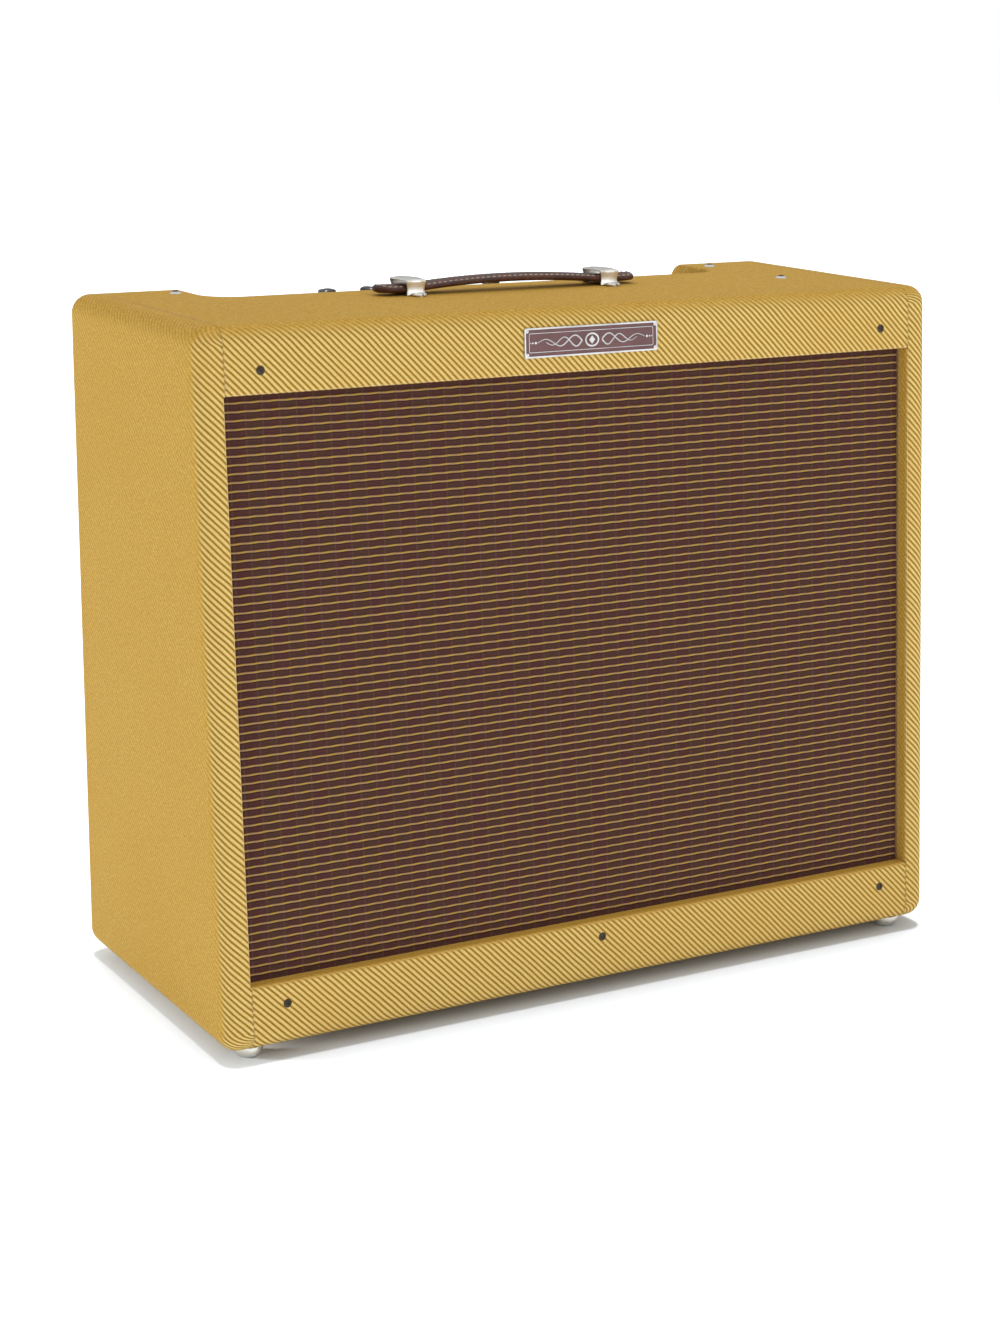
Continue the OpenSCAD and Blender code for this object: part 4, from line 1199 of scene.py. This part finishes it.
strap_lo, strap_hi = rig.box("handle_strap")
STRAP_Y = (strap_lo.y + strap_hi.y) / 2
STRAP_L = strap_hi.x - strap_lo.x
STRAP_W = strap_hi.y - strap_lo.y
STRAP_T = 6 * MM
STRAP_RISE = 4.5 * MM
STRAP_BASE = TOP_Z + 4.5 * MM
CLAMP_X = 84.5 * MM
CLAMP_W = 16.4 * MM
CLAMP_MID = 13.3 * MM
CLAMP_T = 1.2 * MM
FOOT_Y = 18.5 * MM
EDGE_POWER = 0.62
FACE_POWER = 0.55
GROOVE_DEPTH = 0.3 * MM
GROOVE_AT, GROOVE_WIDTH = 0.8, 0.07
CLAMP_SIDE = (
    (0.5, 1.0), (-0.3, 2.6), (-0.75, 5.2), (-0.55, 8.0), (0.0, 10.4), (0.1, 11.3), (-0.5, 11.8)
)
CLAMP_CAP = ((0.6, 11.9), (0.25, 12.1), (0.0, 12.2))
CURL_R = 4.7 * MM, 4.9 * MM
CURL_STEPS = 16


def strap_mid(x):
    """Height of the strap's middle: a low bow between the clamps and ends that turn up."""
    t = (x / CLAMP_X) ** 2
    return STRAP_BASE + STRAP_RISE * ((1 - t) if t < 1 else 0.2 * (t - 1))


def strap_half_width(x):
    """Half the strap's width at x, with semicircular ends."""
    over = max(0.0, abs(x) - (STRAP_L - STRAP_W) / 2)
    return math.sqrt(max((0.05 * MM) ** 2, (STRAP_W / 2) ** 2 - over ** 2))


def strap_surface(x, a):
    """The strap's surface at x and the angle a round its section, above the rear edge at 0."""
    half = strap_half_width(x)
    full = STRAP_T / 2 * min(1.0, half / (STRAP_W / 2) + 0.3)
    c, s = math.cos(a), math.sin(a)
    edge = math.copysign(abs(c) ** EDGE_POWER, c)
    off_groove = (abs(edge) - GROOVE_AT) / GROOVE_WIDTH
    groove = GROOVE_DEPTH * math.exp(-off_groove ** 2) if s > 0 else 0.0
    z = full * math.copysign(abs(s) ** FACE_POWER, s) * (1 - (0.3 if s > 0 else 0.15) * edge ** 2)
    return Vector((x, STRAP_Y + half * edge, strap_mid(x) + z - groove))


def strap():
    """Two layers of leather over a padded core, grooved along the stitching."""
    sections, around = 110, 40
    patch = Patch()
    rows = [
        [(strap_surface(x, math.tau * j / around), (x, j / around * 60 * MM))
         for j in range(around + 1)]
        for x in (-STRAP_L / 2 * math.cos(math.pi * k / sections) for k in range(sections + 1))
    ]
    patch.grid(rows)
    patch.polygon(rows[0][:-1])
    patch.polygon(rows[-1][:-1])
    piece = patch.build("handle_strap_leather", M_LEATHER, "handle", 0.004 * MM, solid=True)
    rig.slot(piece, "leather")
    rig.replaces(piece, "handle_strap")
    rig.padded(piece, fill=0.9)


STITCH_PITCH = 4.6 * MM
STITCH_L = 3.0 * MM
STITCH_IN = 2.3 * MM


def stitches():
    """Pale saddle stitches all round the strap, just inside its rim."""
    straight = (STRAP_L - STRAP_W) / 2
    r = STRAP_W / 2 - STITCH_IN
    total = 4 * straight + math.tau * r

    def at(run):
        run %= total
        if run > total / 2:
            x, y = plan(run - total / 2)
            x, y = -x, -y
        else:
            x, y = plan(run)
        edge = max(-1.0, min(1.0, y / strap_half_width(x)))
        c = math.copysign(abs(edge) ** (1 / EDGE_POWER), edge)
        return strap_surface(x, math.acos(c))

    def plan(run):
        if run < 2 * straight:
            return run - straight, -r
        a = (run - 2 * straight) / r - math.pi / 2
        return straight + r * math.cos(a), r * math.sin(a)

    patch = Patch()
    count = int(total / STITCH_PITCH)
    for k in range(count):
        middle = (k + 0.5) * total / count
        if abs(abs(at(middle).x) - CLAMP_X) < CLAMP_W / 2 - 2 * MM:
            continue
        path, radius = [], []
        for j in range(7):
            arch = math.sin(math.pi * j / 6)
            spot = at(middle + (j / 6 - 0.5) * STITCH_L)
            path.append(spot + (0.4 * arch - 0.1) * MM * UPWARD)
            radius.append((0.26 + 0.2 * arch) * MM)
        sweep(patch, path, radius, UPWARD, 6)
    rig.slot(patch.build("handle_stitching", M_STITCH, "handle", 0, solid=True), "leather")


def clamp_loop(patch, x_mid):
    """A pressed loop: waisted legs, slightly bowed, under a hipped cap."""
    half = [(CLAMP_MID + y * MM, z * MM) for y, z in CLAMP_SIDE]
    half += [(k * CLAMP_MID, z * MM) for k, z in CLAMP_CAP]
    path = [(-y, z) for y, z in half] + [(y, z) for y, z in reversed(half[:-1])]
    rows = []
    for y, z in path:
        waist = math.sin(math.pi * min(1.0, z / (11.0 * MM)))
        reach = CLAMP_W / 2 * (1 - 0.13 * waist)
        row = []
        for k in range(9):
            t = k / 4 - 1
            hip = 0.7 * MM * (1 - abs(t)) if z > 11.7 * MM else 0.0
            bow = math.copysign(0.4 * MM * (1 - t * t), y) if z < 10 * MM else 0.0
            point = (x_mid + t * reach, STRAP_Y + y + bow, TOP_Z + z + hip - CLAMP_T / 2)
            row.append((point, (t * CLAMP_W / 2, z)))
        rows.append(row)
    patch.grid(rows)


def clamps():
    """Two pressed loops on feet that curl round their screws."""
    loops, feet = Patch(), Patch()
    for sx in (-1, 1):
        clamp_loop(loops, sx * CLAMP_X)
        for sy in (-1, 1):
            mid = STRAP_Y + sy * FOOT_Y
            for turn in (-1, 1):
                curl, radius = [], []
                for k in range(CURL_STEPS + 1):
                    t = k / CURL_STEPS
                    a = math.radians(90 + turn * (8 + 160 * t))
                    curl.append(Vector((
                        sx * CLAMP_X + CURL_R[0] * math.cos(a), mid - sy * CURL_R[1] * math.sin(a),
                        TOP_Z + (1.1 + 0.4 * math.sin(math.pi * t)) * MM,
                    )))
                    radius.append((1.15 - 0.5 * t ** 3) * MM)
                sweep(feet, curl, radius, UPWARD, 10)
            prism(feet, rounded_rectangle(7.4 * MM, 9.6 * MM, 2.4 * MM), 0.05 * MM, 1.15 * MM,
                  lambda x, y, h: Vector((sx * CLAMP_X + x, mid - sy * 1.0 * MM + y, TOP_Z + h)))
    loop = loops.build("handle_clamp_loops", M_NICKEL)
    soften(loop, 35)
    add_modifiers(loop, thick=CLAMP_T, bevel=0.3 * MM)
    foot = soften(feet.build("handle_clamp_feet", M_NICKEL, weld=0, solid=True), 35)
    for piece in (loop, foot):
        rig.slot(piece, "nickel")
        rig.replaces(piece, "handle_clamps")


strap()
stitches()
clamps()


# ---- marks on the controls ----

KNOBS = {
    "bright_volume": 30, "normal_volume": 15, "treble": -20, "bass": 10, "presence": 45,
}
DIAL_R = 16.1 * MM
DIAL_SWEEP = 300
DIAL_TOP = 12
DIGIT_SIZE = 4.0 * MM
DIGIT_T = 0.04 * MM
POINTER_W, POINTER_L, POINTER_OUT = 1.3 * MM, 10.5 * MM, 9.2 * MM
PANEL_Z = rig.box("chassis")[1].z


def knob_axis(name):
    """Where a knob's axis stands, from the joint that turns it."""
    joint = next(j for j in frame["joints"] if j["child"] == name)
    return Vector((joint["pos_m"][0], joint["pos_m"][1], 0))


def dial_way(degrees):
    """The direction of a setting, counted clockwise from the one that points at the handle."""
    a = math.radians(degrees)
    return Vector((-math.sin(a), -math.cos(a), 0))


def knob_marks():
    """A white line along each pointer, which turns with its knob."""
    for name, setting in KNOBS.items():
        way = dial_way(setting)
        side = Vector((way.y, -way.x, 0))
        hub = knob_axis(name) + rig.box("knob_" + name)[1].z * UPWARD
        patch = Patch()
        prism(patch, rounded_rectangle(POINTER_W, POINTER_L, 0.6 * MM), -0.15 * MM, 0.12 * MM,
              lambda x, y, h: hub + side * x + way * (y + POINTER_OUT) + h * UPWARD)
        piece = patch.build("pointer_line_" + name, M_WHITE_MARK, name, solid=True)
        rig.slot(soften(piece), "black_knob")


def digits_mesh(text, size):
    """A number as a thin flat mesh round its own middle."""
    curve = bpy.data.curves.new("digits", "FONT")
    curve.body = text
    curve.size = size
    curve.align_x = curve.align_y = "CENTER"
    curve.extrude = DIGIT_T
    curve.resolution_u = 3
    obj = linked("digits", curve)
    bpy.context.view_layer.update()
    mesh = bpy.data.meshes.new_from_object(obj)
    verts = [v.co.copy() for v in mesh.vertices]
    faces = [list(f.vertices) for f in mesh.polygons]
    bpy.data.objects.remove(obj)
    bpy.data.curves.remove(curve)
    bpy.data.meshes.remove(mesh)
    return verts, faces


def dials():
    """Numbers from 1 to 12 round each knob, read from behind the amplifier."""
    verts, faces = [], []
    for k in range(DIAL_TOP):
        points, polygons = digits_mesh(str(k + 1), DIGIT_SIZE)
        way = dial_way(DIAL_SWEEP * (k / (DIAL_TOP - 1) - 0.5))
        for name in KNOBS:
            spot = knob_axis(name) + DIAL_R * way
            base = len(verts)
            verts += [(spot.x - p.x, spot.y - p.y, PANEL_Z + DIGIT_T / 2 + p.z) for p in points]
            faces += [[base + v for v in f] for f in polygons]
    piece = add_mesh("dial_numbers", verts, faces, None, M_BLACK_PRINT, smooth=False)
    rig.slot(piece, "chrome_panel")


knob_marks()
dials()


# ---- loudspeaker suspensions ----

BAFFLE_BACK = 25 * MM
SPEAKERS = {
    "low": front(-134 * MM, BAFFLE_BACK, 178.5 * MM),
    "high": front(134 * MM, BAFFLE_BACK, 330.5 * MM),
}
SPEAKER_IN = Vector((0, COS_T, -SIN_T))
SPEAKER_UP = Vector((0, SIN_T, COS_T))
WALL = 0.7 * MM
RING_STEPS = 96


def rolled(r0, r1, h0, h1, depth, rolls, n):
    """A rolled profile between two radii: (radius, height) pairs in metres."""
    return [
        ((r0 + (r1 - r0) * t) * MM,
         (h0 + (h1 - h0) * t - depth * math.sin(math.tau * rolls * t) * math.sin(math.pi * t)) * MM)
        for t in (k / n for k in range(n + 1))
    ]


def suspension(name, kind, profile, sectors, radii, material, slot, node):
    """One ring between frame and cone, in sectors that each bend along their own radius."""
    at = SPEAKERS[name]
    shell = profile + [(r, h + WALL) for r, h in reversed(profile)]

    def place(r, a, h):
        across = Vector((r * math.cos(a), 0, 0))
        return at + across + SPEAKER_UP * (r * math.sin(a)) + SPEAKER_IN * h

    for k in range(sectors):
        first = math.tau * k / sectors
        patch = Patch()
        patch.grid([
            [(place(r, first + math.tau * j / RING_STEPS, h), (r, h)) for r, h in shell + shell[:1]]
            for j in range(RING_STEPS // sectors + 1)
        ])
        piece = patch.build(f"{kind}_{name}_{k + 1}", material, body=None)
        middle = first + math.pi / sectors
        start, end = (place(r * MM, middle, 0) for r in radii)
        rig.blend(soften(piece, 60), "cabinet", "moving_cone_" + name, start, end)
        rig.slot(piece, slot)
        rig.replaces(piece, node)


RINGS = {
    "surround": (
        rolled(122.2, 139, 6, 1.4, 1.6, 2.5, 36), 8, (128.4, 122.4),
        M_CONE, "cone_paper", "surrounds",
    ),
    "spider": (
        rolled(19.7, 66, 61, 61, 1.2, 5, 60), 4, (46, 20), M_SPIDER, "spider_cloth", "spiders"
    ),
}
for name in SPEAKERS:
    for kind, ring in RINGS.items():
        suspension(name, kind, *ring)


# ---- internal loudspeaker lead ----

LEAD_R = 2.2 * MM
LEAD_PATH = (
    (-56, 132, 388), (-56, 132, 372), (-55, 133, 356), (-52, 134, 340), (-47, 135, 326),
    (-40, 136, 314), (-31, 137, 304), (-20, 137, 297), (-8, 136, 293), (4, 134, 291),
    (16, 131, 290), (28, 127, 290), (40, 120, 289), (50, 111, 288), (57, 103, 288),
)
JUMPER_PATH = (
    (57, 103, 284), (54, 112, 278), (47, 119, 268), (36, 123, 255), (22, 125, 242),
    (6, 126, 230), (-12, 125, 221), (-30, 121, 216), (-45, 113, 216), (-57, 101, 219),
)
PLUG_PROFILE = (
    (2.4, 386), (4.2, 386.2), (4.6, 389), (5.4, 393), (6.1, 398), (6.2, 399.5), (5.9, 400.2),
    (5.9, 416.5), (6.2, 417.2), (6.2, 420), (5.6, 420.6), (3.17, 420.6), (3.17, 440),
    (3.0, 441), (2.2, 442.2), (3.0, 444.4), (2.4, 446.6), (0.9, 447.9),
)


def in_cabinet(x, y, z):
    """A point in millimetres from the cabinet's own front bottom edge."""
    return Vector((x * MM, FRONT_Y + y * MM, FLOOR_Z + z * MM))


def smooth_path(points, n=4):
    """A rounded path through the points."""
    p = [in_cabinet(*q) for q in points]
    path = []
    for k in range(len(p) - 1):
        a, b, c, d = p[max(k - 1, 0)], p[k], p[k + 1], p[min(k + 2, len(p) - 1)]
        for j in range(n):
            t = j / n
            path.append(0.5 * (
                2 * b + (c - a) * t + (2 * a - 5 * b + 4 * c - d) * t ** 2
                + (3 * b - a - 3 * c + d) * t ** 3
            ))
    return path + [p[-1]]


def lead(name, points, with_pieces=()):
    """A length of round flex along a path, as a curve of its real thickness."""
    path = smooth_path(points)
    curve = bpy.data.curves.new(name, "CURVE")
    curve.dimensions = "3D"
    spline = curve.splines.new("POLY")
    spline.points.add(len(path) - 1)
    for point, at in zip(spline.points, path):
        point.co = (*at, 1)
    curve.bevel_depth = LEAD_R
    curve.bevel_resolution = 4
    curve.use_fill_caps = True
    curve.materials.append(M_LEAD)
    obj = linked(name, curve)
    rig.slot(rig.ride(obj, "cabinet"), "lead")
    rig.replaces(obj, "speaker_lead")
    length = sum((b - a).length for a, b in zip(path, path[1:]))
    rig.cord(obj, exit=path[0], length=length, diameter=2 * LEAD_R, far_end="object",
            lay="hanging", with_pieces=with_pieces)


def plug():
    """The jack plug on the end of the main lead."""
    patch = Patch()
    x, y, _ = LEAD_PATH[0]
    revolve(patch, PLUG_PROFILE, 28, lambda a, b, h: in_cabinet(x + a, y + b, h))
    piece = soften(patch.build("speaker_plug", M_NICKEL, solid=True), 35)
    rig.replaces(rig.slot(piece, "lead"), "speaker_lead")
    return piece


lead("speaker_lead_main", LEAD_PATH, [plug()])
lead("speaker_lead_jumper", JUMPER_PATH)


# ---- finishes of the carried-over parts ----

SLOT_FINISH = {
    "pine": timber("pine", *PINE),
    "plywood": timber("plywood", srgb(222, 190, 140), srgb(194, 152, 100), scale=(1.0, 30.0, 10.0)),
    "covered_panel": tweed("tweed_back", across=(0, -1)),
    "dark_screw": metal("dark_screw", (0.09, 0.068, 0.052), 0.42),
    "zinc": metal("zinc", (0.60, 0.60, 0.58), 0.34),
    "nickel": M_NICKEL,
    "chrome_panel": metal("chrome_panel", (0.80, 0.80, 0.80), 0.12, wear=0.08),
    "black_knob": coated("black_phenolic", (0.012, 0.011, 0.011), 0.4, depth=0.02),
    "black_moulding": coated("black_moulding", (0.02, 0.02, 0.021), 0.45),
    "red_jewel": jewel_glass(),
    "transformer_black": coated(
        "transformer_enamel", (0.018, 0.018, 0.02), 0.3, depth=0.08, coat=0.2
    ),
    "brown_phenolic": coated("brown_phenolic", srgb(66, 40, 26), 0.38),
    "valve_glass": clear_glass(),
    "plate_metal": coated("carbonised_plate", (0.06, 0.06, 0.065), 0.6),
    "fibre_board": pulp("fibre_board", srgb(40, 34, 32), srgb(66, 56, 50)),
    "capacitor": coated("capacitor_film", srgb(214, 158, 40), 0.3, coat=0.3),
    "basket_steel": coated("hammered_grey", srgb(112, 122, 132), 0.4, grain=260, depth=0.25),
    "magnet_cover": coated("bell_cover", srgb(52, 56, 66), 0.35, grain=300, depth=0.06),
    "cone_paper": M_CONE,
    "cap_felt": pulp("cap_felt", srgb(30, 26, 25), srgb(48, 42, 40)),
    "spider_cloth": M_SPIDER,
    "gasket_cork": pulp("gasket_cork", srgb(112, 84, 56), srgb(156, 122, 84)),
    "lead": M_LEAD,
}
NODE_FINISH = {
    "side_board_left": M_PINE_UP, "side_board_right": M_PINE_UP, "back_cleats": M_PINE_UP,
    "glides": metal("glide_nickel", (0.82, 0.79, 0.71), 0.24),
    "chassis_bolts": bolt_nickel(),
    "power_lever": M_SILVER, "standby_lever": M_SILVER,
}
EDGE_BEVEL = {
    "power_transformer": 0.8, "output_transformer": 0.8, "back_cleats": 1.0,
    **{"knob_" + name: 0.4 for name in KNOBS},
}

for subpart in frame["record"]["subparts"]:
    node, finish = subpart["node"], SLOT_FINISH.get(subpart["material_slot"])
    finish = NODE_FINISH.get(node, finish)
    obj = NODES[node]
    if finish is None or obj.hide_render:
        continue
    obj.data.materials.clear()
    obj.data.materials.append(finish)
    if node in EDGE_BEVEL:
        add_modifiers(obj, bevel=EDGE_BEVEL[node] * MM)


# ---- camera, light and floor ----

VIEW_AZIMUTH = math.radians(-29.74)
VIEW_ELEVATION = math.radians(14.30)
VIEW_ROLL = math.radians(0.47)
VIEW_DISTANCE = 2.010
VIEW_TARGET = Vector((-0.0185, -0.0070, 0.2346))
VIEW_LENS = 70.5


def camera():
    """The one camera, in front, to the left and a little above."""
    data = bpy.data.cameras.new("camera")
    data.lens = VIEW_LENS
    data.sensor_width = 36
    obj = linked("camera", data)
    a, e = VIEW_AZIMUTH, VIEW_ELEVATION
    back = Vector((math.sin(a) * math.cos(e), -math.cos(a) * math.cos(e), math.sin(e)))
    turn = (-back).to_track_quat("-Z", "Y").to_matrix().to_4x4()
    stand = Matrix.Translation(VIEW_TARGET + VIEW_DISTANCE * back)
    obj.matrix_world = stand @ turn @ Matrix.Rotation(VIEW_ROLL, 4, "Z")
    bpy.context.scene.camera = obj


def area_light(name, place, aim, size, power):
    """A soft rectangular lamp that faces a point."""
    data = bpy.data.lights.new(name, "AREA")
    data.shape = "RECTANGLE"
    data.size, data.size_y = size
    data.energy = power
    obj = linked(name, data)
    obj.location = place
    obj.rotation_mode = "QUATERNION"
    obj.rotation_quaternion = (Vector(aim) - Vector(place)).to_track_quat("-Z", "Y")
    return obj


FLOOR_GLOW = 0.02
FLOOR_SIZE = 14
ROOM_LOW, ROOM_HIGH = 0.21, 0.93
HORIZON, OVERHEAD = 0.05, 0.6
FLOOR_COLOURS = (0.69, 0.73, 0.78), (0.71, 0.75, 0.8)


def soft_room():
    """A plain white room: brighter overhead than at floor level, and white behind the object."""
    world = bpy.data.worlds.new("studio")
    world.use_nodes = True
    tree = world.node_tree
    back = tree.nodes["Background"]
    white = tree.nodes.new("ShaderNodeBackground")
    mixer = tree.nodes.new("ShaderNodeMixShader")
    seen = tree.nodes.new("ShaderNodeLightPath")
    where = tree.nodes.new("ShaderNodeTexCoord")
    split = tree.nodes.new("ShaderNodeSeparateXYZ")
    ramp = tree.nodes.new("ShaderNodeMapRange")
    ramp.interpolation_type = "SMOOTHSTEP"
    for key, value in {1: HORIZON, 2: OVERHEAD, 3: ROOM_LOW, 4: ROOM_HIGH}.items():
        ramp.inputs[key].default_value = value
    link = tree.links.new
    link(where.outputs["Generated"], split.inputs[0])
    link(split.outputs[2], ramp.inputs[0])
    link(ramp.outputs[0], back.inputs["Strength"])
    for shader in (back, white):
        shader.inputs["Color"].default_value = (1, 1, 1, 1)
    link(seen.outputs["Is Camera Ray"], mixer.inputs[0])
    link(back.outputs[0], mixer.inputs[1])
    link(white.outputs[0], mixer.inputs[2])
    link(mixer.outputs[0], tree.nodes["World Output"].inputs["Surface"])
    return world


def floor_sun(name, strength, spread, source):
    """A distant soft light for the floor alone, which shines from the given direction."""
    data = bpy.data.lights.new(name, "SUN")
    data.energy = strength
    data.angle = math.radians(spread)
    lamp = linked(name, data)
    lamp.rotation_euler = Vector(source).to_track_quat("Z", "Y").to_euler()
    return lamp


AREA_LIGHTS = {
    "key": ((0.9, -2.5, 1.1), (0, 0, 0.25), (1.8, 1.4), 13.8),
    "fill": ((-2.6, -1.2, 1.2), (0, 0, 0.25), (1.6, 1.6), 0.8),
    "rear": ((0.4, 2.4, 1.6), (0, 0, 0.3), (1.8, 1.2), 12),
}
FLOOR_SUNS = {
    "overhead": (3.3, 11, (0.03, 0.07, 1)),
    "skim": (6.5, 10, (-0.9, 0.5, 0.15)),
}


def studio():
    """White room, floor and lights; the suns light the floor alone, the lamps all but it."""
    scene = bpy.context.scene
    scene.view_settings.view_transform = "Standard"
    scene.world = soft_room()
    lights = {area_light(name, *how): "EXCLUDE" for name, how in AREA_LIGHTS.items()}
    bpy.data.objects["rear"].visible_glossy = False
    corners = [(x * FLOOR_SIZE, y * FLOOR_SIZE, 0) for x, y in ((-1, -1), (1, -1), (1, 1), (-1, 1))]
    floor = add_mesh("floor", corners, [(0, 1, 2, 3)], body="cabinet")
    floor.parent = None
    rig.stage(floor)
    lights |= {floor_sun(name, *how): "INCLUDE" for name, how in FLOOR_SUNS.items()}
    for light, state in lights.items():
        group = bpy.data.collections.new(light.name + "_floor")
        group.objects.link(floor)
        group.collection_objects[0].light_linking.link_state = state
        light.light_linking.receiver_collection = group
    g = Graph("pale_floor")
    g.set(
        Base_Color=g.mix(g.noise(3, 2), *FLOOR_COLOURS),
        Roughness=0.9, Specular_IOR_Level=0.1,
        Emission_Color=(1, 1, 1, 1), Emission_Strength=FLOOR_GLOW,
    )
    floor.data.materials.append(g.material)


camera()
studio()

lo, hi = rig.bounds()
with open("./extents.json", "w") as size_file:
    json.dump({
        "cad": [list(cad_box[0]), list(cad_box[1])],
        "visual": [list(lo), list(hi)],
    }, size_file)
